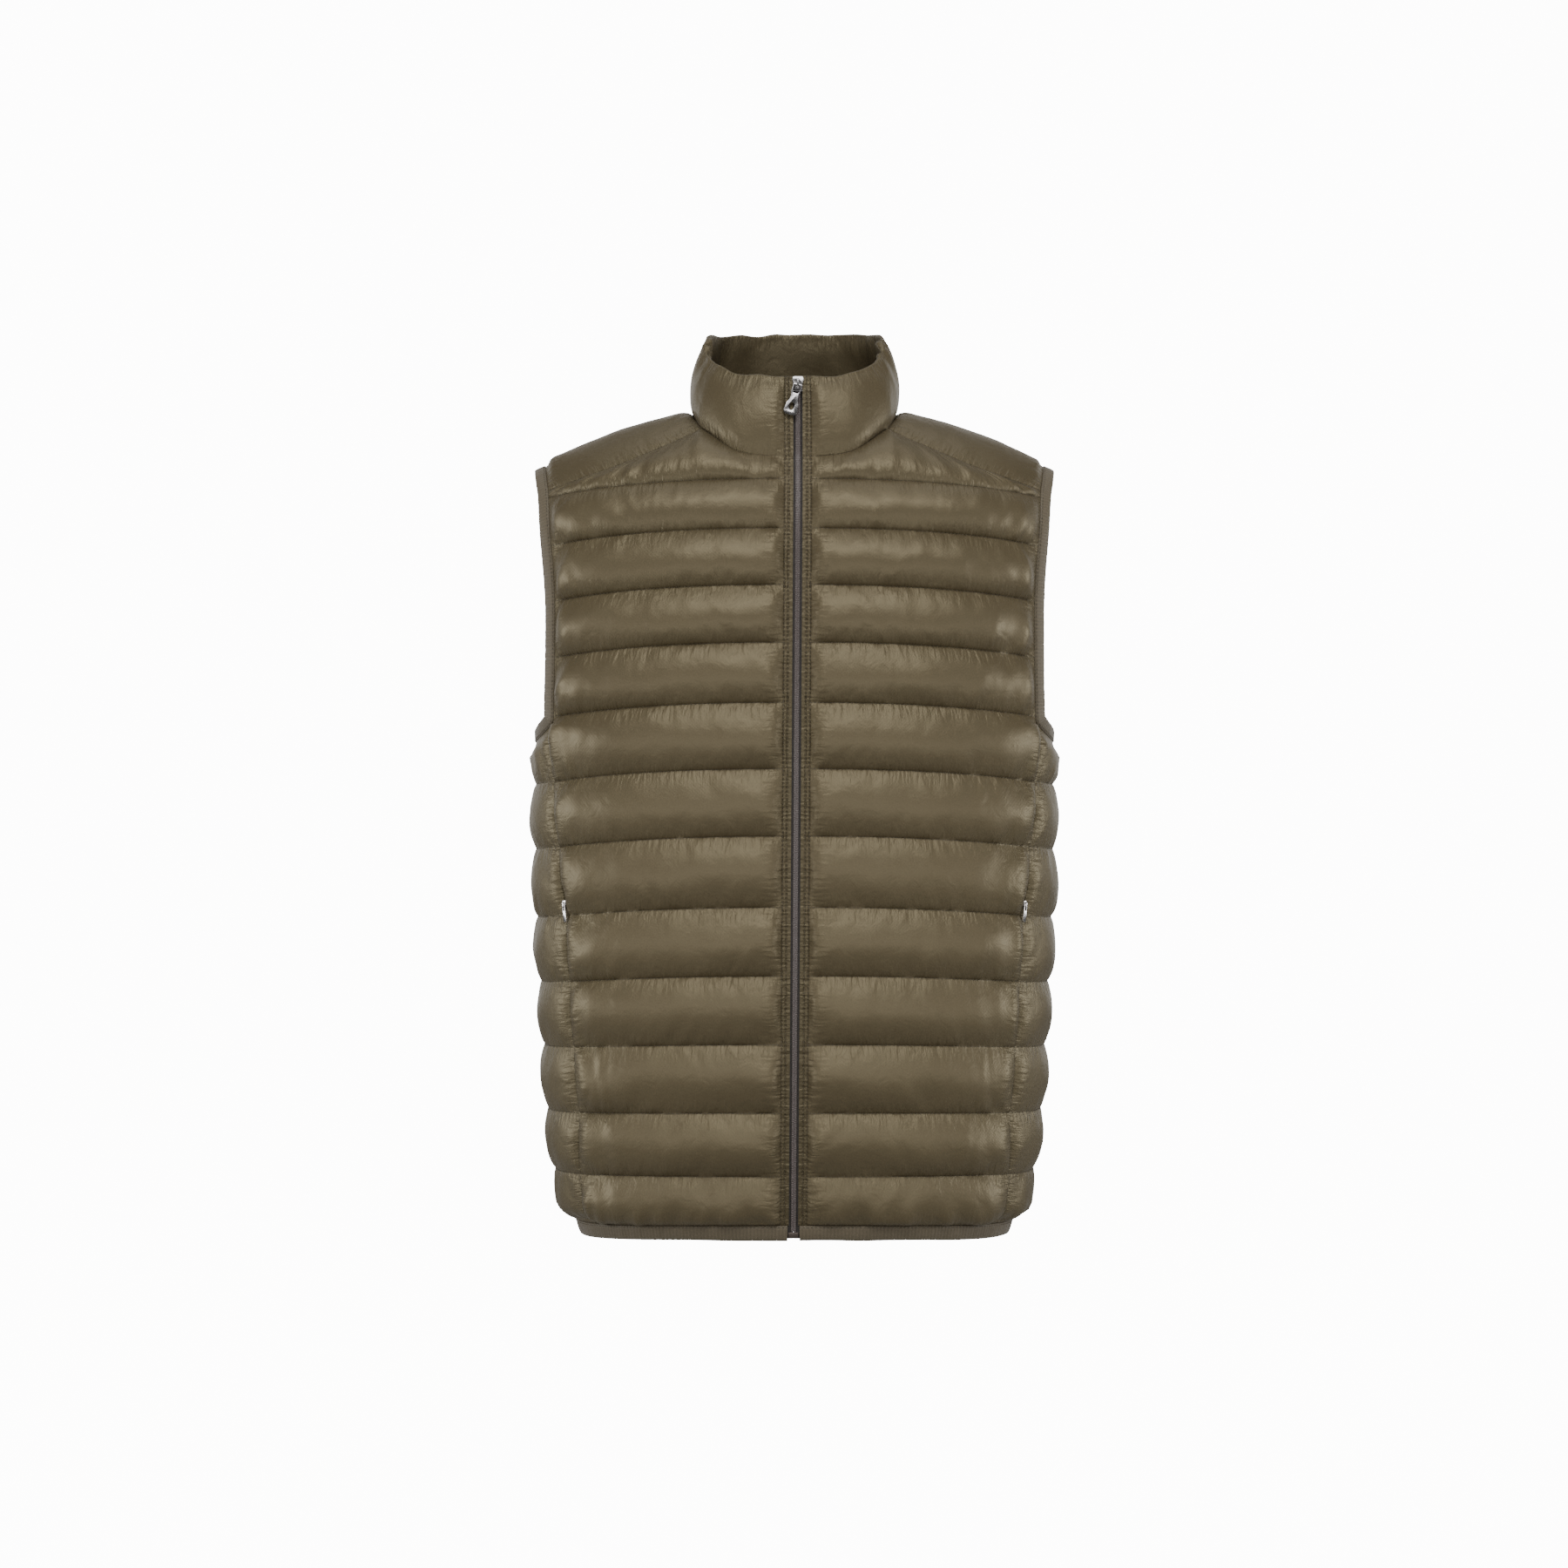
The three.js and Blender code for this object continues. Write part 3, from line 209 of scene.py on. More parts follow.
def gathers(along, away, seed, strength=1.0, slant=0):
    total = np.zeros(np.broadcast(along, away).shape)
    for k, (spacing, reach, height) in enumerate(gathering["sizes"]):
        mark = seed + 7 * k
        lean = gathering["lean"] * noise1(along / (spacing * 5), mark + 1)
        length = reach * (1 + 0.5 * noise1(along / (spacing * 2.1), mark + 2))
        wave = noise1((along + (lean + slant) * away) / spacing, mark + 3)
        root = gathering["rootLength"] * spacing / 4
        envelope = (1 - np.exp(-away / root)) * np.exp(-(away / length) ** 1.5 * 1.3)
        total = total + height * envelope * wave
    return total * strength


# Body grids: points, outward normals, each row's baffle with its height and share, and a mask
def bafflePlan():  # real heights of the rows, their share of the baffle, its height and the armhole lift
    rows = []
    lines, armhole = quilting["lines"], seams["armholeShare"]
    for baffle, (low, high) in enumerate(zip(lines[:-1], lines[1:])):
        steps = np.arange(quilting["rowsPerBaffle"]) / quilting["rowsPerBaffle"]
        shares = steps - 0.075 * np.sin(2 * np.pi * steps)  # closer rows beside the lines
        if baffle == seams["armholeBaffle"]:
            shares[np.argmin(np.abs(shares - armhole))] = armhole
        for share in shares:
            lift = 0
            if baffle == seams["armholeBaffle"]:
                step = np.interp(share, [0, 0.3, armhole], [0, 1, 2])
                lift = (step / 2) ** 2 if share <= armhole else (1 - share) / (1 - armhole)
            rows.append((low + (high - low) * share, share, high - low, lift * seams["armholeLift"], baffle))
    rows.append((lines[-1], 0, 0, 0, len(lines) - 1))
    return np.array(rows)


plan = bafflePlan()
otherBaffle = plan[:, 4] != seams["armholeBaffle"]
armholeRow = int(np.argmin(np.abs(plan[:, 1] - seams["armholeShare"]) + 10 * otherBaffle))


def rowHeight(theta):  # every row at every angle, raised towards the ends of the armhole's foot
    reach = np.abs(theta / degree - 90) / (90 - seams["armholeFront"])
    rise = np.where(reach < 1, np.minimum(reach, 1) ** 2.2, 1 - smooth(reach - 1))
    return plan[:, :1] + plan[:, 3:4] * rise


def bodyGrid(theta):  # theta: rows of the plan by columns
    row = rowHeight(theta)
    z = row - sagAt(theta, row)
    return {
        "points": bodyPoint(theta, z), "normals": outward(bodyPoint, theta, z, 0.004, 0.4),
        "height": np.broadcast_to(plan[:, 2:3], theta.shape).copy(),
        "share": np.broadcast_to(plan[:, 1:2], theta.shape).copy(),
        "baffle": np.broadcast_to(plan[:, 4:5], theta.shape).copy(),
    }


def addTop(grid, topHeight, isBack, edgeX):  # rows above the last line, up to the neck and shoulder seams
    low = grid["points"][-1]
    shares = (np.arange(quilting["topRows"]) + 1)[:, None] / quilting["topRows"]
    x = low[None, :, 0] + (edgeX - low[:, 0])[None] * shares
    top = topHeight(edgeX)
    z = low[None, :, 2] + (top - low[:, 2])[None] * shares
    theta = angleAt(x, z, isBack)
    grid["height"][-1] = top - low[:, 2]
    more = {
        "points": bodyPoint(theta, z), "normals": outward(bodyPoint, theta, z, 0.004, 0.4),
        "height": np.broadcast_to((top - low[:, 2])[None], x.shape),
        "share": np.broadcast_to(shares, x.shape),
        "baffle": np.full(x.shape, len(quilting["lines"]) - 1.0),
    }
    return {name: np.concatenate([grid[name], more[name]]) for name in grid}


def frontTop(x):
    yoke = crown(x) - tableValue(seams["frontYoke"], x)
    return np.where(x < seams["frontYoke"][0][0], tableValue(seams["frontNeck"], x), yoke)


def backTop(x):
    yoke = crown(x) - tableValue(seams["backYoke"], x)
    return np.where(x < seams["backYoke"][0][0], tableValue(seams["backNeck"], x), yoke)


columns = {"neckFront": 28, "neckBack": 26, "shoulder": 50, "underarm": 20, "side": 34, "shoulderRows": 44}


def split(low, middle, high, first, second):
    return np.concatenate([np.linspace(low, middle, first + 1), np.linspace(middle, high, second + 1)[1:]])


def frontGrid(side):
    shares = split(0, 0.3626, 1, columns["neckFront"], columns["shoulder"])[None]
    level, row = plan[:, 0] + plan[:, 3], plan[:, 0]
    base = quilting["lines"][seams["armholeBaffle"]]
    climb = np.clip((row - base) / (quilting["lines"][-1] - base), 0, 1)
    armhole = (seams["armholeFront"] - seams["armholeHollow"] * np.sin(np.pi * climb)) * degree
    outer = np.where(np.arange(len(row)) <= armholeRow, seamAngle(level, "front"), armhole)
    outerX = bodyPoint(outer, row)[:, 0]
    innerX = seams["zipEdge"] + side * zipLean(row)
    theta = angleAt(innerX[:, None] + (outerX - innerX)[:, None] * shares, row[:, None] + 0 * shares, False)
    inner = seams["zipEdge"] + side * zipLean(quilting["lines"][-1])
    neckX = seams["frontYoke"][0][0]
    edgeX = split(inner, neckX, seams["tipX"], columns["neckFront"], columns["shoulder"])
    return addTop(bodyGrid(theta), frontTop, False, edgeX)


def sideGrid():
    level = plan[:, 0] + plan[:, 3]
    shares = np.linspace(0, 1, columns["side"] + 1)[None]
    start, end = seamAngle(level, "front")[:, None], seamAngle(level, "back")[:, None]
    grid = bodyGrid(start + (end - start) * shares)
    return {name: values[:armholeRow + 1] for name, values in grid.items()}


def halfBackGrid():  # from the centre outwards, with no cloth past the armhole's edge
    shares = split(0, 0.252, 1, columns["neckBack"], columns["shoulder"])[None]
    level = plan[:, 0] + plan[:, 3]
    below = np.arange(len(level)) < armholeRow
    seam = seamAngle(level, "back")
    span = tableValue(seams["underarmSpan"], level) * degree
    corner = np.where(below, seam + span, seams["armholeBack"] * degree)
    under = np.linspace(0, 1, columns["underarm"] + 1)[None, 1:]
    theta = np.concatenate([np.pi + (corner[:, None] - np.pi) * shares,
                            corner[:, None] + (seam - corner)[:, None] * under], 1)
    tipZ = backTop(np.array(float(seams["tipX"])))
    tip = angleAt(seams["tipX"], tipZ, True)
    edgeX = bodyPoint(np.pi + (tip - np.pi) * shares[0], tipZ + 0 * shares[0])[:, 0]
    neckX = seams["backYoke"][0][0]
    edgeX[:columns["neckBack"] + 1] *= neckX / edgeX[columns["neckBack"]]
    edgeX = np.concatenate([edgeX, np.full(columns["underarm"], float(seams["tipX"]))])
    grid = addTop(bodyGrid(theta), backTop, True, edgeX)
    grid["mask"] = np.ones(grid["share"].shape, bool)
    grid["mask"][armholeRow + 1:, shares.size:] = False
    return grid


def shoulderGrid(frontEdge, backEdge):  # rows from the front seam to the back one, columns neck to armhole
    over = lambda p: np.arccos(np.clip(1 - (crown(p[:, 0]) - p[:, 2]) / bodyShape["crownHeight"], -1, 1))
    s = np.linspace(0, 1, columns["shoulderRows"] + 1)[:, None]
    share = np.linspace(0, 1, len(frontEdge))[None]
    neckBow = bodyShape["neckHalfWidth"] - seams["frontYoke"][0][0]
    bow = (1 - (2 * s - 1) ** 2) * (neckBow + (seams["tipBow"] - neckBow) * share)
    x = frontEdge[None, :, 0] + (backEdge[:, 0] - frontEdge[:, 0])[None] * s + bow
    phi = -over(frontEdge)[None] + (over(backEdge) + over(frontEdge))[None] * s
    return {
        "points": shoulderPoint(x, phi), "normals": outward(shoulderPoint, x, phi, 0.4, 0.004),
        "share": s + 0 * x, "height": np.full(x.shape, 90.0), "baffle": np.full(x.shape, 20.0),
    }


def lengths(points, axis):  # length along the rows (axis 1) or columns (axis 0) of a grid of points
    steps = np.linalg.norm(np.diff(points, axis=axis), axis=-1)
    start = np.zeros_like(np.take(steps, [0], axis=axis))
    return np.cumsum(np.concatenate([start, steps], axis=axis), axis=axis)


def mirror(grid):  # the same grid on the other side, with its columns turned round
    flipped = {name: values[:, ::-1].copy() for name, values in grid.items()}
    flipped["points"][..., 0] *= -1
    flipped["normals"][..., 0] *= -1
    return flipped


print("scene: body grids", plan.shape, "armhole row", armholeRow)

# Padding: how the panels swell between their seams
swelling = {
    "zip": (7.2, 12), "seam": (0, 12), "armhole": (0, 20), "neck": (0, 13),
    "uneven": 0.12, "lumps": 0.5, "lumpSize": 30, "drift": 0.05, "bandRipple": 0.16,
    "lineGathers": 1.0, "edgeGathers": 1.05, "insideGathers": 0.45,
    "tip": 9, "hemGathers": 3.2, "hemPleat": 9, "hemReach": 12, "seamLift": 2.6, "pocketDip": (-411, 15),
}


def roundEdge(distance, edge):  # 0 on the seam, full past the soft width
    flat, soft = edge
    return np.sin(np.pi / 2 * np.clip((distance - flat) / soft, 0, 1)) ** 0.8


def measure(grid):  # distances along the rows and columns of a grid
    present = grid.get("mask", np.ones(grid["share"].shape, bool))
    across = lengths(grid["points"], 1)
    last = present.shape[1] - 1 - np.argmax(present[:, ::-1], axis=1)
    first = np.argmax(present, axis=1)
    rows = np.arange(len(last))
    grid["fromStart"] = across - across[rows, first][:, None]
    grid["fromEnd"] = across[rows, last][:, None] - across
    grid["up"] = lengths(grid["points"], 0)
    grid["mask"] = present
    return grid


def seamLift(grid):  # how far the side seams stand up between the lines, down to nothing at the armhole
    height = np.arange(grid["up"].shape[0])
    foot = grid["up"][min(armholeRow, len(height) - 1)][None]
    fade = smooth((foot - grid["up"]) / 16) * (height < armholeRow)[:, None]
    place, reach = swelling["pocketDip"]
    dip = 1 - 0.9 * np.exp(-((grid["points"][..., 2] - place) / reach) ** 4) * (grid["points"][..., 1] < -30)
    return swelling["seamLift"] * fade * dip * np.sqrt(baffleRise(grid["share"]))


def swell(grid, start, end, padding, seed):  # start and end: flat and soft widths at the side edges
    share, height, baffle = grid["share"], grid["height"], grid["baffle"]
    along, up = grid["fromStart"], grid["up"]
    below, above = share * height, (1 - share) * height
    shift = swelling["drift"] * noise2(along / 55, baffle * 5.3, seed) * np.sin(np.pi * share)
    level = np.minimum(padding, quilting["paddingShare"] * height * padding / quilting["padding"])
    level = level * (1 + swelling["uneven"] * noise2(along / 48, baffle * 7.7 + share, seed + 1))
    low, high = quilting["crestRange"]
    line = baffle.astype(int)
    shape = low + (high - low) * np.clip(1 - baffle / (len(quilting["lines"]) - 1), 0, 1)
    shape = np.where(line == 0, quilting["hemCrest"], shape)
    rise = level * baffleRise(share + shift, shape)
    body = baffleRise(share)
    size = swelling["lumpSize"]
    fine = body * (swelling["lumps"] * noise2(along / size, up / size * 1.4, seed + 2))
    for index in np.unique(line):
        here = line == index
        for away, mark in ((below, index), (above, index + 1)):
            both = gathers(along[here], away[here], 100 + 31 * int(mark) + seed, 0.65)
            ownSeed = 900 + 31 * int(mark) + seed + (away is above) * 5
            own = gathers(along[here] + 17.3, away[here], ownSeed, 0.7)
            near = np.exp(-(grid["fromEnd"][here] / gathering["endReach"]) ** 2)
            fine[here] += swelling["lineGathers"] * (both + own) * (1 + gathering["endStrength"] * near)
    started = roundEdge(grid["fromStart"], start)
    ended = roundEdge(grid["fromEnd"], end)
    if end[0] == 0:
        atArmhole = smooth((up - up[min(armholeRow, len(ended) - 1)][None]) / 20 + 0.5)
        gentle = smooth(grid["fromEnd"] / swelling["armhole"][1]) ** 0.7
        ended = ended + (gentle - ended) * atArmhole
    hemAway = np.where(line == 0, below, 1e3)
    pleats = np.exp(-(hemAway / swelling["hemReach"]) ** 2) * smooth(hemAway / 3)
    pleats = pleats * noise1(along / swelling["hemPleat"], seed + 71)
    fine = fine + swelling["hemGathers"] * pleats
    fullness = np.sqrt(body)
    fromStart = np.maximum(0, grid["fromStart"] - start[0])
    fromEnd = np.maximum(0, grid["fromEnd"] - end[0])
    sides = gathers(up, fromStart, 2000 + seed, 1.0, gathering["slant"])
    sides = sides + gathers(up, fromEnd, 2100 + seed, 1.0, gathering["slant"])
    rise = (rise + fine * (0.25 + 0.75 * fullness)) * started * ended
    lift = seamLift(grid)
    rise = rise + lift * (1 - ended) + (lift * (1 - started) if start[0] == 0 else 0)
    rise = rise + (swelling["edgeGathers"] * sides * fullness * np.minimum(started + 0.15, 1)
                   * np.minimum(ended + 0.15, 1))
    band = np.clip(1 - started, 0, 1) * (start[0] > 5)
    rise = rise + swelling["bandRipple"] * band * noise2(up / 3.6, along / 9, seed + 5) * smooth(along / 2)
    grid["rise"] = rise
    grid["inside"] = swelling["insideGathers"] * (fine + sides * fullness) * started * ended
    grid["lineDistance"] = np.minimum(below, above)
    grid["edgeDistance"] = np.minimum(fromStart, fromEnd)
    return grid


def drawIn(grid, sides="left right low high"):  # half of the seam gap along the edges
    points, gap = grid["points"], quilting["seamGap"] / 2
    if "left" in sides:
        points[:, 0] += gap * unit(points[:, 1] - points[:, 0])
    if "right" in sides:
        points[:, -1] += gap * unit(points[:, -2] - points[:, -1])
    if "low" in sides:
        points[0] += gap * unit(points[1] - points[0])
    if "high" in sides:
        points[-1] += gap * unit(points[-2] - points[-1])
    return grid


def newMesh(name, points, faces, material, uv=None, values=None):  # points in millimetres
    mesh = bpy.data.meshes.new(name)
    mesh.from_pydata((np.asarray(points) / 1000).tolist(), [], faces)
    corners = np.empty(len(mesh.loops), int)
    mesh.loops.foreach_get("vertex_index", corners)
    if uv is not None:
        layer = mesh.uv_layers.new(name="cloth")
        layer.data.foreach_set("uv", np.asarray(uv, float)[corners].ravel())
    for key, column in (values or {}).items():
        attribute = mesh.attributes.new(key, "FLOAT", "POINT")
        attribute.data.foreach_set("value", np.asarray(column, float).ravel())
    mesh.polygons.foreach_set("use_smooth", np.ones(len(mesh.polygons), bool))
    mesh.materials.append(material)
    mesh.validate()
    mesh.set_sharp_from_angle(angle=math.radians(62))
    piece = bpy.data.objects.new(name, mesh)
    scene.collection.objects.link(piece)
    return piece


def wallMesh(name, grid, wall, material):  # closed padded wall: raised outside, plainer inside, rims
    mask = grid["mask"]
    count = int(mask.sum())
    index = np.full(mask.shape, -1)
    index[mask] = np.arange(count)
    points, normals = grid["points"][mask], grid["normals"][mask]
    top = points + normals * grid["rise"][mask][:, None]
    under = points - normals * (wall + grid["inside"][mask])[:, None]
    cell = mask[:-1, :-1] & mask[:-1, 1:] & mask[1:, :-1] & mask[1:, 1:]
    a, b, c, d = (index[:-1, :-1][cell], index[:-1, 1:][cell], index[1:, 1:][cell], index[1:, :-1][cell])
    outer = np.stack([a, b, c, d], 1)
    inner = np.stack([a, d, c, b], 1) + count
    padded = np.pad(cell, 1)
    middle = padded[1:-1, 1:-1]
    rims = []
    for free, start, end in (
            (middle & ~padded[:-2, 1:-1], (0, 0), (0, 1)), (middle & ~padded[1:-1, 2:], (0, 1), (1, 1)),
            (middle & ~padded[2:, 1:-1], (1, 1), (1, 0)), (middle & ~padded[1:-1, :-2], (1, 0), (0, 0))):
        r, k = np.nonzero(free)
        first, second = index[r + start[0], k + start[1]], index[r + end[0], k + end[1]]
        rims.append(np.stack([second, first, first + count, second + count], 1))
    faces = np.concatenate([outer, inner] + rims).tolist()
    along = np.concatenate([grid["fromStart"][mask]] * 2) / 1000
    up = np.concatenate([grid["up"][mask]] * 2) / 1000
    values = {key: np.concatenate([grid[key][mask]] * 2) for key in ("lineDistance", "edgeDistance")}
    fromZip = grid["fromZip"][mask] if "fromZip" in grid else np.full(count, 99.0)
    values["zipDistance"] = np.concatenate([fromZip] * 2)
    return newMesh(name, np.concatenate([top, under]), faces, material, np.stack([along, up], 1), values)


# Materials. Groups put out colours, masks and normals only
def newGroup(name, inputs, outputs):
    group = bpy.data.node_groups.new(name, "ShaderNodeTree")
    for label, kind, value in inputs:
        socket = group.interface.new_socket(label, in_out="INPUT", socket_type=kind)
        if value is not None:
            socket.default_value = value
    for label, kind in outputs:
        group.interface.new_socket(label, in_out="OUTPUT", socket_type=kind)
    return group, group.nodes.new("NodeGroupInput"), group.nodes.new("NodeGroupOutput")


def addNode(tree, kind, links=(), **settings):
    node = tree.nodes.new(kind)
    for key, value in settings.items():
        setattr(node, key, value)
    for socket, source in links:
        tree.links.new(source, node.inputs[socket])
    return node


def sums(tree, operation, first, second, clamped=False):
    node = tree.nodes.new("ShaderNodeMath")
    node.operation, node.use_clamp = operation, clamped
    for socket, value in zip(node.inputs, (first, second)):
        if isinstance(value, (int, float)):
            socket.default_value = value
        else:
            tree.links.new(value, socket)
    return node.outputs[0]


def weaveGroup():  # fine plain weave on the cloth's own coordinates, in threads per metre
    group, given, out = newGroup(
        "wovenThreads", [("Threads", "NodeSocketFloat", 2200.0), ("Strength", "NodeSocketFloat", 0.1),
                         ("Normal", "NodeSocketVector", None)],
        [("Normal", "NodeSocketVector"), ("Mask", "NodeSocketFloat")])
    uv = addNode(group, "ShaderNodeUVMap", uv_map="cloth")
    scaled = addNode(group, "ShaderNodeVectorMath", [(0, uv.outputs[0])], operation="SCALE")
    group.links.new(given.outputs["Threads"], scaled.inputs["Scale"])
    parts = addNode(group, "ShaderNodeSeparateXYZ", [(0, scaled.outputs[0])])
    warp = sums(group, "SINE", parts.outputs[0], 0)
    weft = sums(group, "SINE", parts.outputs[1], 0)
    height = sums(group, "MULTIPLY", warp, weft)
    bump = addNode(group, "ShaderNodeBump", [("Height", height), ("Strength", given.outputs["Strength"]),
                                             ("Normal", given.outputs["Normal"])])
    bump.inputs["Distance"].default_value = 0.0002
    group.links.new(bump.outputs[0], out.inputs["Normal"])
    group.links.new(sums(group, "MULTIPLY_ADD", height, 0.5), out.inputs["Mask"])
    return group


weave = weaveGroup()


def crumpleGroup():  # small creases of thin nylon: long streaks off the seams and soft creases between, and a mask of painted shade along the seams and edges
    group, given, out = newGroup(
        "nylonCreases", [("Creases", "NodeSocketFloat", 0.5), ("Streaks", "NodeSocketFloat", 0.6),
                         ("Normal", "NodeSocketVector", None)],
        [("Normal", "NodeSocketVector"), ("Height", "NodeSocketFloat"), ("Seam", "NodeSocketFloat")])
    uv = addNode(group, "ShaderNodeUVMap", uv_map="cloth").outputs[0]
    line = addNode(group, "ShaderNodeAttribute", attribute_name="lineDistance").outputs["Fac"]
    edge = addNode(group, "ShaderNodeAttribute", attribute_name="edgeDistance").outputs["Fac"]

    def streaks(scale, distance, reach, seed):
        mapping = addNode(group, "ShaderNodeMapping", [(0, uv)])
        mapping.inputs["Scale"].default_value = scale
        mapping.inputs["Location"].default_value = (seed, seed * 1.7, 0)
        noise = addNode(group, "ShaderNodeTexNoise", [("Vector", mapping.outputs[0])])
        noise.inputs["Scale"].default_value = 1
        noise.inputs["Detail"].default_value = 2.5
        noise.inputs["Distortion"].default_value = 0.5
        fade = addNode(group, "ShaderNodeMapRange", [("Value", distance)])
        fade.inputs["From Min"].default_value, fade.inputs["From Max"].default_value = 0.3, reach
        fade.inputs["To Min"].default_value, fade.inputs["To Max"].default_value = 1, 0
        centred = sums(group, "SUBTRACT", noise.outputs["Fac"], 0.5)
        return sums(group, "MULTIPLY", centred, fade.outputs[0])

    lineStreaks = streaks((290, 70, 1), line, 16, 3.1)
    edgeStreaks = streaks((70, 290, 1), edge, 20, 7.7)
    gathered = sums(group, "MULTIPLY", sums(group, "ADD", lineStreaks, edgeStreaks), given.outputs["Streaks"])
    soft = addNode(group, "ShaderNodeTexNoise", [("Vector", uv)])
    soft.inputs["Scale"].default_value, soft.inputs["Detail"].default_value = 85, 3
    soft.inputs["Distortion"].default_value = 0.9
    centred = sums(group, "SUBTRACT", soft.outputs["Fac"], 0.5)
    creases = sums(group, "MULTIPLY", centred, given.outputs["Creases"])
    height = sums(group, "ADD", gathered, creases)
    bump = addNode(group, "ShaderNodeBump", [("Height", height), ("Normal", given.outputs["Normal"])])
    bump.inputs["Distance"].default_value, bump.inputs["Strength"].default_value = 0.004, 0.8
    group.links.new(bump.outputs[0], out.inputs["Normal"])
    group.links.new(height, out.inputs["Height"])
    # painted shade: this mask is 1 on the seam lines and edges and fades out by 1.5 mm, and darkens the
    # nylon's colour there as the seam grooves' shadow
    nearest = sums(group, "MINIMUM", line, edge)
    seam = addNode(group, "ShaderNodeMapRange", [("Value", nearest)])
    seam.inputs["From Min"].default_value, seam.inputs["From Max"].default_value = 0.1, 1.5
    seam.inputs["To Min"].default_value, seam.inputs["To Max"].default_value = 1, 0
    group.links.new(seam.outputs[0], out.inputs["Seam"])
    return group


creaseGroup = crumpleGroup()
needles = {"perMetre": 294, "rows": (3.7, 6.9), "reach": 1.3, "between": 0.25}


def needleGroup():  # rows of needle dents beside the zip: a bump, and a mask that the nylon uses for painted shade in the dents
    group, given, out = newGroup("needleDentsAndShade", [("Normal", "NodeSocketVector", None)],
                                 [("Normal", "NodeSocketVector"), ("Mask", "NodeSocketFloat")])
    distance = addNode(group, "ShaderNodeAttribute", attribute_name="zipDistance").outputs["Fac"]
    uv = addNode(group, "ShaderNodeUVMap", uv_map="cloth").outputs[0]
    parts = addNode(group, "ShaderNodeSeparateXYZ", [(0, uv)])
    turns = sums(group, "MULTIPLY", parts.outputs[1], needles["perMetre"] * 2 * math.pi)
    beat = sums(group, "SINE", turns, 0)
    dots = sums(group, "MULTIPLY_ADD", beat, 0.5)
    total = None
    for row in needles["rows"]:
        away = sums(group, "ABSOLUTE", sums(group, "SUBTRACT", distance, row), 0)
        near = addNode(group, "ShaderNodeMapRange", [("Value", away)], interpolation_type="SMOOTHSTEP")
        near.inputs["From Min"].default_value, near.inputs["From Max"].default_value = 0.1, needles["reach"]
        near.inputs["To Min"].default_value, near.inputs["To Max"].default_value = 1, 0
        total = near.outputs[0] if total is None else sums(group, "MAXIMUM", total, near.outputs[0])
    # this mask is the painted shade of the needle dents, and also the height of their bump
    mask = sums(group, "MULTIPLY", total, sums(group, "ADD", dots, needles["between"]), True)
    bump = addNode(group, "ShaderNodeBump", [("Height", mask), ("Normal", given.outputs["Normal"])],
                   invert=True)
    bump.inputs["Distance"].default_value, bump.inputs["Strength"].default_value = 0.0006, 0.8
    group.links.new(bump.outputs[0], out.inputs["Normal"])
    group.links.new(mask, out.inputs["Mask"])
    return group


needleDentsAndShade = needleGroup()


def newMaterial(name):
    material = bpy.data.materials.new(name)
    material.use_nodes = True
    tree = material.node_tree
    return material, tree, next(node for node in tree.nodes if node.type == "BSDF_PRINCIPLED")


# the "seam" colour is painted shade: the seam grooves and the needle rows are darkened towards it
nylonLook = {
    "light": (0.083, 0.0655, 0.0355, 1), "dark": (0.067, 0.052, 0.028, 1), "seam": (0.035, 0.026, 0.013, 1),
    "roughness": (0.44, 0.52), "sheen": 0.03, "sheenRoughness": 0.4,
    "specular": 1.0, "specularTint": (1, 0.87, 0.58, 1), "seamShadeMark": 0.7, "needleShadeMark": 0.85,
}


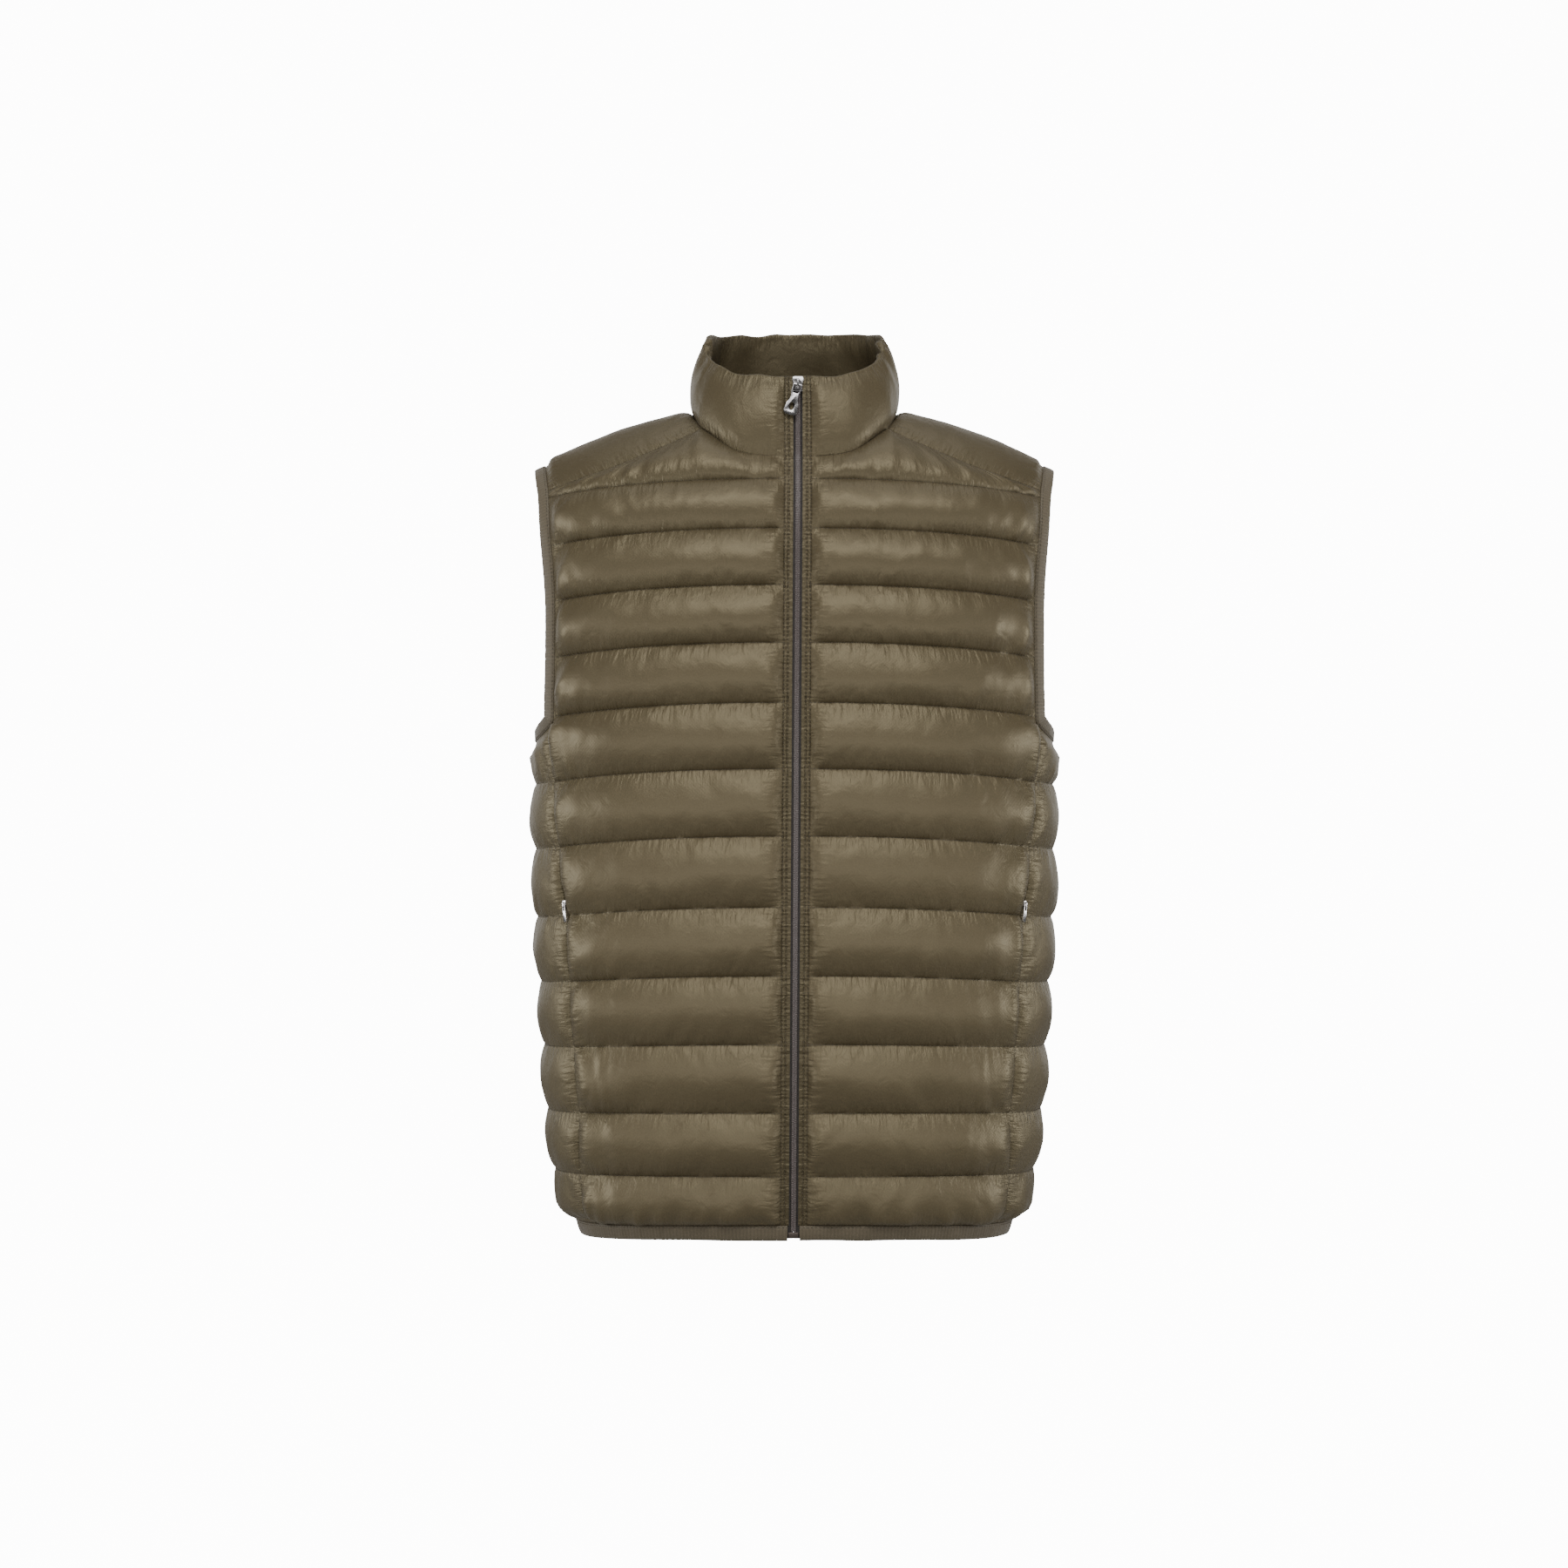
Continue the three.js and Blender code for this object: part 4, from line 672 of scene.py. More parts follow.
def nylonMaterial(name, look, creases, streaks):
    material, tree, surface = newMaterial(name)
    folds = addNode(tree, "ShaderNodeGroup", node_tree=creaseGroup)
    folds.inputs["Creases"].default_value, folds.inputs["Streaks"].default_value = creases, streaks
    dents = addNode(tree, "ShaderNodeGroup", [("Normal", folds.outputs["Normal"])], node_tree=needleDentsAndShade)
    threads = addNode(tree, "ShaderNodeGroup", [("Normal", dents.outputs["Normal"])], node_tree=weave)
    place = addNode(tree, "ShaderNodeTexCoord")
    cloud = addNode(tree, "ShaderNodeTexNoise", [("Vector", place.outputs["Object"])])
    cloud.inputs["Scale"].default_value, cloud.inputs["Detail"].default_value = 14, 4
    tint = addNode(tree, "ShaderNodeMix", data_type="RGBA")
    tint.inputs[6].default_value, tint.inputs[7].default_value = look["dark"], look["light"]
    tree.links.new(cloud.outputs["Fac"], tint.inputs[0])
    # painted shade: the colour darkens towards the seam colour at the seam grooves and on the needle rows
    paintedShadeTint = addNode(tree, "ShaderNodeMix", data_type="RGBA")
    paintedShadeTint.inputs[7].default_value = look["seam"]
    seamShadeMark = sums(tree, "MULTIPLY", folds.outputs["Seam"], look["seamShadeMark"])
    needleShadeMark = sums(tree, "MULTIPLY", dents.outputs["Mask"], look["needleShadeMark"])
    paintedShadeAmount = sums(tree, "MAXIMUM", seamShadeMark, needleShadeMark)
    tree.links.new(paintedShadeAmount, paintedShadeTint.inputs[0])
    tree.links.new(tint.outputs[2], paintedShadeTint.inputs[6])
    tree.links.new(paintedShadeTint.outputs[2], surface.inputs["Base Color"])
    rough = addNode(tree, "ShaderNodeMapRange", [("Value", cloud.outputs["Fac"])])
    rough.inputs["To Min"].default_value, rough.inputs["To Max"].default_value = look["roughness"]
    tree.links.new(rough.outputs[0], surface.inputs["Roughness"])
    tree.links.new(threads.outputs["Normal"], surface.inputs["Normal"])
    surface.inputs["Sheen Weight"].default_value = look["sheen"]
    surface.inputs["Sheen Roughness"].default_value = look["sheenRoughness"]
    surface.inputs["Specular IOR Level"].default_value = look["specular"]
    surface.inputs["Specular Tint"].default_value = look["specularTint"]
    return material


nylon = nylonMaterial("satinNylon", nylonLook, 0.16, 0.6)


# Raw grids, whose edges also carry the bindings, the collar and the zips
rawFronts = {1: frontGrid(1), -1: frontGrid(-1)}
rawSide = sideGrid()
rawHalfBack = halfBackGrid()
neckFront, neckBack, shoulderCount = columns["neckFront"], columns["neckBack"], columns["shoulder"]
frontEdge = rawFronts[1]["points"][-1, neckFront:]
backEdge = rawHalfBack["points"][-1, neckBack:neckBack + shoulderCount + 1]
rawShoulder = shoulderGrid(frontEdge, backEdge)


def copyGrid(grid):
    return {name: values.copy() for name, values in grid.items()}


def finishPanel(piece, node):
    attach(piece, "garment")
    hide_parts(node)


def addPanel(name, node, grid, side):  # side -1 makes the mirror image
    finishPanel(wallMesh(name, mirror(grid) if side < 0 else grid, quilting["wall"], nylon), node)


stitching = {
    "length": 2.5, "pitch": 3.4, "width": 0.62, "zipRows": (3.7, 6.9), "lift": 0.1,
    "bindingOut": 1.5, "bindingLift": 1.05,
}
stitchPaths = []


def addStitches(grid, side, distances=(), start=0.0):  # rows beside the zip and along the quilting
    outer = grid["points"] + grid["normals"] * (grid["rise"] + stitching["lift"])[..., None]
    flip = np.array([side, 1, 1])
    for distance in distances:
        pick = [[np.interp(distance, away, row[:, k]) for away, row in zip(grid["fromStart"], outer)]
                for k in range(3)]
        stitchPaths.append(np.stack(pick, 1) * flip)
    for row in np.nonzero((grid["share"][:, 0] < 1e-6) & (grid["up"][:, 0] > 1))[0]:
        used = grid["mask"][row] & (grid["fromStart"][row] > start)
        if used.sum() > 3:
            stitchPaths.append(outer[row][used] * flip)


for side, word in ((1, "left"), (-1, "right")):
    grid = measure(copyGrid(rawFronts[side]))
    grid = swell(grid, swelling["zip"], swelling["seam"], quilting["padding"], 11 if side > 0 else 47)
    addStitches(grid, side, stitching["zipRows"], 7)
    grid["fromZip"] = grid["fromStart"].copy()
    grid = drawIn(grid, "right low high")
    addPanel(f"front{word.capitalize()}", f"front_{word}", grid, side)

    grid = measure(copyGrid(rawSide))
    grid = swell(grid, swelling["seam"], swelling["seam"], quilting["sidePadding"], 73 if side > 0 else 91)
    addStitches(grid, side)
    foot = smooth((grid["up"][-1:] - grid["up"]) / 14)
    grid["rise"], grid["inside"] = grid["rise"] * foot, grid["inside"] * foot
    addPanel(f"side{word.capitalize()}", f"side_{word}", drawIn(grid), side)

    grid = measure(copyGrid(rawShoulder))
    share, rowsUp = grid["share"], grid["up"]
    whole = rowsUp[-1:]
    along = grid["fromStart"]
    edge = np.minimum(rowsUp, whole - rowsUp)
    started, ended = roundEdge(along, swelling["neck"]), smooth(grid["fromEnd"] / swelling["tip"])
    body = np.sin(np.pi * share)
    seed = 131 if side > 0 else 157
    fine = gathers(along, rowsUp, seed, 1.1) + gathers(along, whole - rowsUp, seed + 40, 1.1)
    fine = fine + swelling["lumps"] * noise2(along / 22, rowsUp / 18, seed + 3) * body
    ends = gathers(rowsUp, along, seed + 80, 0.9) + gathers(rowsUp, grid["fromEnd"], seed + 90, 1.1)
    lift = quilting["shoulderPadding"] * body ** 0.6 * (1 + 0.1 * noise2(along / 45, rowsUp / 40, seed + 4))
    rise = (lift + fine * (0.2 + 0.8 * body)) * started * ended
    grid["rise"] = rise + ends * body * np.minimum(started, ended)
    grid["inside"] = 0.4 * fine * started * ended
    grid["lineDistance"], grid["edgeDistance"] = edge, np.minimum(along, grid["fromEnd"])
    addPanel(f"shoulder{word.capitalize()}", f"shoulder_{word}", drawIn(grid), side)

half = {name: values[:, ::-1] for name, values in rawHalfBack.items()}
other = mirror({name: values[:, ::-1] for name, values in rawHalfBack.items()})
whole = {name: np.concatenate([half[name], other[name][:, 1:]], 1).copy() for name in half}
grid = measure(whole)
grid = swell(grid, swelling["seam"], swelling["seam"], quilting["padding"], 173)
addStitches(grid, 1)
edgeUp = grid["up"][armholeRow][None]
outer = ~grid["mask"][-1][None]
foot = np.where(outer, smooth((edgeUp - grid["up"]) / 14), 1)
grid["rise"], grid["inside"] = grid["rise"] * foot, grid["inside"] * foot
addPanel("backPanel", "back", drawIn(grid), 1)
print("scene: panels made")


# Strips and rings swept along a run of stations
def resample(points, others, step, closed=False):
    if closed:
        points = np.concatenate([points, points[:1]])
        others = [np.concatenate([each, each[:1]]) for each in others]
    run = np.concatenate([[0], np.cumsum(np.linalg.norm(np.diff(points, axis=0), axis=1))])
    count = int(round(run[-1] / step))
    at = np.linspace(0, run[-1], count + 1)[:count if closed else count + 1]
    pick = lambda each: np.stack([np.interp(at, run, each[:, k]) for k in range(3)], 1)
    return pick(points), [pick(each) for each in others], at


def soften(values, width, closed):  # running average along a run
    kernel = np.hanning(width + 2)[1:-1]
    kernel /= kernel.sum()
    pad = width // 2
    mode = "wrap" if closed else "edge"
    extended = np.pad(values, ((pad, pad), (0, 0)), mode=mode)
    smoothed = [np.convolve(extended[:, k], kernel, "valid") for k in range(values.shape[1])]
    return np.stack(smoothed, 1)[:len(values)]


def awayFrom(points, normals, closed, turn, flare=0.0):  # direction that leads off the cloth
    if closed:
        along = np.roll(points, -1, axis=0) - np.roll(points, 1, axis=0)
    else:
        along = np.gradient(points, axis=0)
    away = np.cross(normals, unit(along)) * turn
    return unit(away + flare * np.abs(normals[:, 1:2]) * normals)


def sweptMesh(name, rings, closed, material, uv=None):  # rings: stations by profile points
    stations, size = rings.shape[:2]
    index = np.arange(stations * size).reshape(stations, size)
    ahead = np.roll(index, -1, axis=0) if closed else index[1:]
    here = index if closed else index[:-1]
    faces = np.stack([here, np.roll(here, -1, 1), np.roll(ahead, -1, 1), ahead], -1).reshape(-1, 4).tolist()
    if not closed:
        faces += [index[0].tolist(), index[-1].tolist()[::-1]]
    along = np.concatenate([[0], np.cumsum(np.linalg.norm(np.diff(rings[:, 0], axis=0), axis=1))])
    girth = np.concatenate([[0], np.cumsum(np.linalg.norm(np.diff(rings[0], axis=0), axis=1))])
    flat = np.stack(np.broadcast_arrays(along[:, None], girth[None]), -1).reshape(-1, 2) / 1000
    plain = np.full(stations * size, 40.0)
    piece = newMesh(name, rings.reshape(-1, 3), faces, material, flat if uv is None else uv,
                    {"lineDistance": plain, "edgeDistance": plain})
    signed = bmesh.new()
    signed.from_mesh(piece.data)
    bmesh.ops.recalc_face_normals(signed, faces=signed.faces)
    signed.to_mesh(piece.data)
    signed.free()
    piece.data.set_sharp_from_angle(angle=math.radians(62))
    return piece


# Elastic bindings round the armholes and the hem
binding = {
    "width": 11, "flare": 0.5, "ripple": 0.16, "rippleStep": 2.3, "wave": 0.35,
    "step": 1.6, "hemEnd": 0.45, "hemStretch": 1.22, "flatWidth": 0.0145, "hemFlatWidth": 0.0156,
    "profile": [(0.3, 0.35), (0.9, 0.85), (3, 1.1), (6, 1.15), (8.8, 1.0), (10.4, 0.45), (11, -1),
                (10.4, -2.5), (8.8, -2.9), (6, -3), (3, -2.9), (0.3, -2.6)],
}
bindingLook = {
    "light": (0.125, 0.1, 0.06, 1), "dark": (0.088, 0.07, 0.041, 1), "roughness": (0.5, 0.62),
}


def ribbedMaterial(name, look, ribs, along):  # woven tape with fine ribs across or along it
    material, tree, surface = newMaterial(name)
    uv = addNode(tree, "ShaderNodeUVMap", uv_map="cloth")
    parts = addNode(tree, "ShaderNodeSeparateXYZ", [(0, uv.outputs[0])])
    wave = sums(tree, "SINE", sums(tree, "MULTIPLY", parts.outputs[0 if along else 1], ribs), 0)
    noise = addNode(tree, "ShaderNodeTexNoise", [("Vector", uv.outputs[0])])
    noise.inputs["Scale"].default_value, noise.inputs["Detail"].default_value = 420, 3
    height = sums(tree, "ADD", wave, noise.outputs["Fac"])
    bump = addNode(tree, "ShaderNodeBump", [("Height", height)])
    bump.inputs["Distance"].default_value, bump.inputs["Strength"].default_value = 0.00025, 0.25
    threads = addNode(tree, "ShaderNodeGroup", [("Normal", bump.outputs[0])], node_tree=weave)
    tint = addNode(tree, "ShaderNodeMix", data_type="RGBA")
    tint.inputs[6].default_value, tint.inputs[7].default_value = look["dark"], look["light"]
    tree.links.new(sums(tree, "MULTIPLY_ADD", height, 0.25, True), tint.inputs[0])
    tree.links.new(tint.outputs[2], surface.inputs["Base Color"])
    rough = addNode(tree, "ShaderNodeMapRange", [("Value", noise.outputs["Fac"])])
    rough.inputs["To Min"].default_value, rough.inputs["To Max"].default_value = look["roughness"]
    tree.links.new(rough.outputs[0], surface.inputs["Roughness"])
    tree.links.new(threads.outputs["Normal"], surface.inputs["Normal"])
    surface.inputs["Sheen Weight"].default_value = 0.2
    return material


elastic = ribbedMaterial("elasticBinding", bindingLook, 2100, True)


def bindingMesh(name, points, normals, closed, turn, flare, seed, stretch=1.0):
    away = awayFrom(points, normals, closed, turn, flare)
    points, (normals, away), at = resample(points, [normals, away], binding["step"], closed)
    points, normals = soften(points, 5, closed), unit(soften(normals, 9, closed))
    away = unit(soften(away, 13, closed))
    rings = []
    for k, (out, rise) in enumerate(binding["profile"]):
        facing = 1 if rise > -1 else -1
        ripple = binding["ripple"] * noise1(at / binding["rippleStep"] + 0.2 * k, seed) * facing
        wave = binding["wave"] * noise1(at / 26, seed + 1) * (out / binding["width"])
        rings.append(points + away * (out * stretch + wave)[:, None] + normals * (rise + ripple)[:, None])
    stitchPaths.append(points + away * stitching["bindingOut"] + normals * stitching["bindingLift"])
    return sweptMesh(name, np.stack(rings, 1), closed, elastic), at[-1] / 1000


def finishStrip(piece, node):
    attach(piece, "garment")
    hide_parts(node)


def edgeOf(grid, rows, cols):
    return grid["points"][rows, cols], grid["normals"][rows, cols]


def joined(parts):
    return [np.concatenate([part[k] for part in parts]) for k in (0, 1)]


def flipRun(points, normals):
    return points * (-1, 1, 1), normals * (-1, 1, 1)


tipColumn = shoulderCount + neckBack
armholeRun = joined([
    edgeOf(rawFronts[1], slice(armholeRow, None), -1),
    edgeOf(rawShoulder, slice(1, None), -1),
    edgeOf(rawHalfBack, slice(-2, armholeRow - 1, -1), tipColumn),
    edgeOf(rawHalfBack, armholeRow, slice(tipColumn + 1, None)),
    edgeOf(rawSide, armholeRow, slice(-2, 0, -1)),
])
for side, word in ((1, "left"), (-1, "right")):
    points, normals = armholeRun if side > 0 else flipRun(*armholeRun)
    piece, length = bindingMesh(f"armholeBinding{word.capitalize()}", points, normals, True, -side,
                                binding["flare"], 301 + side)
    finishStrip(piece, f"armhole_binding_{word}")


def halfHem(side):
    return joined([edgeOf(rawFronts[side], 0, slice(None)), edgeOf(rawSide, 0, slice(1, None)),
                   edgeOf(rawHalfBack, 0, slice(-2, None, -1))])


leftHem, rightHem = halfHem(1), halfHem(-1)
rightPart = flipRun(rightHem[0][:-1][::-1], rightHem[1][:-1][::-1])
hemPoints, hemNormals = (np.concatenate([a, b]) for a, b in zip(leftHem, rightPart))
hemPoints = hemPoints.copy()
hemPoints[0, 0] += binding["hemEnd"]
hemPoints[-1, 0] -= binding["hemEnd"]
piece, length = bindingMesh("hemBinding", hemPoints, hemNormals, False, -1, 0, 311, binding["hemStretch"])
finishStrip(piece, "hem_binding")
print("scene: bindings made")


# Stand collar: padded ring on the neck edge, open at the zip
def neckHalf(side):
    return joined([edgeOf(rawFronts[side], -1, slice(0, neckFront)), edgeOf(rawShoulder, slice(None), 0),
                   edgeOf(rawHalfBack, -1, slice(neckBack - 1, None, -1))])


collarLook = {
    "crumple": 4.2, "crumpleAngle": 84, "crumpleSpread": 15, "edgeWave": 1.3, "insideSwell": 2.2, "rows": 30,
    "gathers": 0.9, "folds": 1.5,
}


def collarRings():
    left, right = neckHalf(1), neckHalf(-1)
    back = flipRun(right[0][:-1][::-1], right[1][:-1][::-1])
    points, normals = (np.concatenate([a, b]) for a, b in zip(left, back))
    base = points + quilting["seamGap"] * awayFrom(points, normals, False, 1)
    last = len(base) - 1
    angle = np.arctan2(np.abs(base[:, 0]), collarShape["centreY"] - base[:, 1])
    power = collarShape["roundness"]
    across = np.abs(np.sin(angle) / collarShape["halfWidth"]) ** power
    through = np.abs(np.cos(angle) / collarShape["halfDepth"]) ** power
    reach = (across + through) ** (-1 / power)
    order = np.arange(last + 1)
    near = smooth(np.minimum(order, last - order) / 7)
    x = base[:, 0] + (np.sign(base[:, 0]) * np.sin(angle) * reach - base[:, 0]) * near
    run = np.concatenate([[0], np.cumsum(np.linalg.norm(np.diff(base, axis=0), axis=1))])
    wave = collarLook["edgeWave"] * noise1(run / 17, 401) * near
    top = np.stack([x, collarShape["centreY"] - np.cos(angle) * reach,
                    tableValue(collarShape["edge"], angle / degree) + wave], 1)
    along = np.gradient(top, axis=0) + np.gradient(base, axis=0)
    along[:, 2] = 0
    along = unit(along)
    out = np.stack([along[:, 1], -along[:, 0], 0 * x], 1)
    tall = np.linalg.norm(top - base, axis=1)
    fromEnd = np.minimum(run, run[-1] - run)
    taper = roundEdge(fromEnd, swelling["zip"])
    crumple = np.exp(-((angle / degree - collarLook["crumpleAngle"]) / collarLook["crumpleSpread"]) ** 2)
    rings, alongs, ups, seam = [], [], [], []

    def place(share, isOuter):
        swell = tableValue(collarShape["swell"], share)
        low, high = share * tall, (1 - share) * tall
        mark = 411 if isOuter else 431
        folds = gathers(run, low, mark, 1.0) + gathers(run, high, mark + 9, 1.1)
        soft = noise2(run / 30, share * 2.2, mark + 5) * collarLook["folds"]
        folded = noise1(run / 6.4 + 1.6 * share, mark + 6) + 0.2
        deep = collarLook["crumple"] * crumple * folded * share ** 1.5
        if isOuter:
            rise = swell * quilting["collarPadding"] * (1 + 0.12 * noise2(run / 40, share, 409))
            rise = (rise + collarLook["gathers"] * folds * 0.8 + soft * 0.5 * swell) * taper + deep * 0.5
        else:
            rise = (swell * collarLook["insideSwell"] + folds * 0.7 + soft * swell) * taper
            rise = rise + deep + quilting["collarWall"]
        centre = base + (top - base) * share
        return centre + out * (rise if isOuter else -rise)[:, None]

    def addRing(ring, up, fromSeam):
        rings.append(ring)
        alongs.append(run)
        ups.append(up)
        seam.append(fromSeam)

    shares = np.linspace(0, 1, collarLook["rows"] + 1)
    for share in shares:
        addRing(place(share, True), share * tall, np.minimum(share, 1 - share) * tall + 1)
    outer, inner = place(1.0, True), place(1.0, False)
    middle, radius = (outer + inner) / 2, np.linalg.norm(outer - inner, axis=1)[:, None] / 2
    for turn in (35, 90, 145):
        bend = turn * degree
        ring = middle + radius * (out * math.cos(bend) + np.array([0, 0, 1]) * math.sin(bend))
        addRing(ring, tall + turn / 45, 0 * tall + 2)
    for share in shares[::-1]:
        addRing(place(share, False), (2 - share) * tall + 4, np.minimum(share, 1 - share) * tall + 1)
    uv = np.stack([np.stack(alongs, 1), np.stack(ups, 1)], -1).reshape(-1, 2) / 1000
    return np.stack(rings, 1), uv, np.stack(seam, 1), fromEnd, (base, top, out)


rings, uv, seam, fromEnd, collarLines = collarRings()
collar = sweptMesh("standCollar", rings, False, nylon, uv)
collar.data.attributes["lineDistance"].data.foreach_set("value", seam.ravel())
ends = np.maximum(0, fromEnd - swelling["zip"][0])[:, None] + 0 * seam
collar.data.attributes["edgeDistance"].data.foreach_set("value", ends.ravel())
zipDistance = collar.data.attributes.new("zipDistance", "FLOAT", "POINT")
zipDistance.data.foreach_set("value", (fromEnd[:, None] + 0 * seam).ravel())
finishPanel(collar, "collar")
middle, outerRings = len(fromEnd) // 2, collarLook["rows"] + 1
for order in (slice(0, middle), slice(None, middle, -1)):
    for distance in stitching["zipRows"]:
        path = [[np.interp(distance, fromEnd[order], ring[order, k]) for k in range(3)] for ring in
                rings.transpose(1, 0, 2)[:outerRings]]
        stitchPaths.append(np.array(path) - (0, stitching["lift"], 0))
print("scene: collar made")

# Centre zip: tapes behind the panels' edges, a coil of nylon teeth, and metal parts over the CAD ones
zipper = {
    "inner": 0.5, "outer": 12.5, "gap": 0.35, "thickness": 0.9, "bottom": -682.5, "top": 28.7, "recess": 0.35,
    "tapeEnd": -688.5,
    "pitch": 1.55, "toothLength": 2.6, "toothHeight": 1.25, "toothDepth": 1.7, "spread": 1.05, "core": 1.5,
    "flatWidth": 0.012,
}
tapeLook = {"light": (0.04, 0.033, 0.028, 1), "dark": (0.022, 0.018, 0.016, 1), "roughness": (0.6, 0.75)}
tapeCloth = ribbedMaterial("zipTape", tapeLook, 5200, True)


def zipEdges(side):  # near and far points of the panels beside the zip, from the hem to the collar's top
    front = rawFronts[side]
    base, top, out = collarLines
    columns = (0, 1) if side > 0 else (-1, -2)
    flip = np.array([side, 1, 1])
    shares = np.linspace(0, 1, 9)[:, None]
    stand = [(base[c] + (top[c] - base[c]) * shares) * flip for c in columns]
    standOut = np.broadcast_to(out[columns[0]] * flip, stand[0].shape)
    near = np.concatenate([front["points"][:, 0], stand[0]])
    far = np.concatenate([front["points"][:, 1], stand[1]])
    normals = np.concatenate([front["normals"][:, 0], standOut])
    wall = np.concatenate([np.full(len(front["points"]), quilting["wall"]),
                           np.full(9, quilting["collarWall"])])
    return near, far, normals, wall[:, None]


for side, word in ((1, "left"), (-1, "right")):
    near, far, normals, wall = zipEdges(side)
    lower = (0, 0, zipper["tapeEnd"] - near[0, 2])
    near, far = (np.concatenate([line[:1] + lower, line]) for line in (near, far))
    normals, wall = (np.concatenate([values[:1], values]) for values in (normals, wall))
    direction = unit(far - near)
    at = lambda fromZip, depth: near + direction * (fromZip - seams["zipEdge"]) - normals * (wall + depth)
    gap, back = zipper["gap"], zipper["gap"] + zipper["thickness"]
    corners = [(zipper["inner"], gap + 0.25), (zipper["inner"], back - 0.25), (zipper["inner"] + 0.6, back),
               (8, back), (zipper["outer"], back), (zipper["outer"], gap), (8, gap),
               (zipper["inner"] + 0.6, gap)]
    rings = np.stack([at(*corner) for corner in corners], 1) * (side, 1, 1)
    piece = sweptMesh(f"zipTape{word.capitalize()}", rings, False, tapeCloth)
    length = np.linalg.norm(np.diff(near, axis=0), axis=1).sum() / 1000
    finishStrip(piece, f"zip_tape_{word}")


def beadTree(name):  # small rounded shapes set along a path: zip teeth and stitches
    tree = bpy.data.node_groups.new(name, "GeometryNodeTree")
    tree.interface.new_socket("Path", in_out="INPUT", socket_type="NodeSocketGeometry")
    for label, kind, value in (("Spacing", "NodeSocketFloat", 0.002), ("Start", "NodeSocketFloat", 0.0),
                               ("Size", "NodeSocketVector", (0.001, 0.001, 0.001)),
                               ("Segments", "NodeSocketInt", 6),
                               ("Rings", "NodeSocketInt", 4), ("Material", "NodeSocketMaterial", None)):
        socket = tree.interface.new_socket(label, in_out="INPUT", socket_type=kind)
        if value is not None:
            socket.default_value = value
    tree.interface.new_socket("Beads", in_out="OUTPUT", socket_type="NodeSocketGeometry")
    given, out = tree.nodes.new("NodeGroupInput"), tree.nodes.new("NodeGroupOutput")
    curve = addNode(tree, "GeometryNodeMeshToCurve", [("Mesh", given.outputs["Path"])])
    trim = addNode(tree, "GeometryNodeTrimCurve", [("Curve", curve.outputs[0])], mode="LENGTH")
    tree.links.new(given.outputs["Start"], trim.inputs[4])
    trim.inputs[5].default_value = 100
    even = addNode(tree, "GeometryNodeCurveToPoints", [("Curve", trim.outputs[0])], mode="LENGTH")
    tree.links.new(given.outputs["Spacing"], even.inputs["Length"])
    turn = addNode(tree, "FunctionNodeAlignRotationToVector", [("Vector", even.outputs["Tangent"])], axis="Z")
    bead = addNode(tree, "GeometryNodeMeshUVSphere", [
        ("Segments", given.outputs["Segments"]), ("Rings", given.outputs["Rings"])])
    bead.inputs["Radius"].default_value = 0.5
    place = addNode(tree, "GeometryNodeInstanceOnPoints", [
        ("Points", even.outputs["Points"]), ("Instance", bead.outputs["Mesh"]),
        ("Rotation", turn.outputs[0]), ("Scale", given.outputs["Size"])])
    real = addNode(tree, "GeometryNodeRealizeInstances", [("Geometry", place.outputs[0])])
    smoothed = addNode(tree, "GeometryNodeSetShadeSmooth", [("Geometry", real.outputs[0])])
    skin = addNode(tree, "GeometryNodeSetMaterial", [
        ("Geometry", smoothed.outputs[0]), ("Material", given.outputs["Material"])])
    tree.links.new(skin.outputs[0], out.inputs[0])
    return tree


beadNodes = beadTree("beadsAlongPath")


def beads(name, paths, spacing, size, material, segments=6, rings=4, start=0.0):  # millimetres in
    points, edges, count = [], [], 0
    for path in paths:
        points.append(np.asarray(path) / 1000)
        edges += [(count + i, count + i + 1) for i in range(len(path) - 1)]
        count += len(path)
    mesh = bpy.data.meshes.new(name + "Path")
    mesh.from_pydata(np.concatenate(points).tolist(), edges, [])
    carrier = bpy.data.objects.new(name + "Path", mesh)
    scene.collection.objects.link(carrier)
    modifier = carrier.modifiers.new("beads", "NODES")
    modifier.node_group = beadNodes
    given = {"Spacing": spacing / 1000, "Start": start / 1000, "Size": [v / 1000 for v in size],
             "Segments": segments, "Rings": rings, "Material": material}
    for item in beadNodes.interface.items_tree:
        if item.in_out == "INPUT" and item.name in given:
            modifier[item.identifier] = given[item.name]
    carrier.update_tag()
    graph = bpy.context.evaluated_depsgraph_get()
    made = bpy.data.meshes.new_from_object(carrier.evaluated_get(graph))
    made.name = name
    piece = bpy.data.objects.new(name, made)
    bpy.data.objects.remove(carrier)
    scene.collection.objects.link(piece)
    return piece


def merged(name, pieces, material):
    whole = bmesh.new()
    for item in pieces:
        whole.from_mesh(item.data)
        bpy.data.objects.remove(item)
    mesh = bpy.data.meshes.new(name)
    for face in whole.faces:
        face.material_index = 0
    whole.to_mesh(mesh)
    whole.free()
    mesh.materials.append(material)
    piece = bpy.data.objects.new(name, mesh)
    scene.collection.objects.link(piece)
    return piece


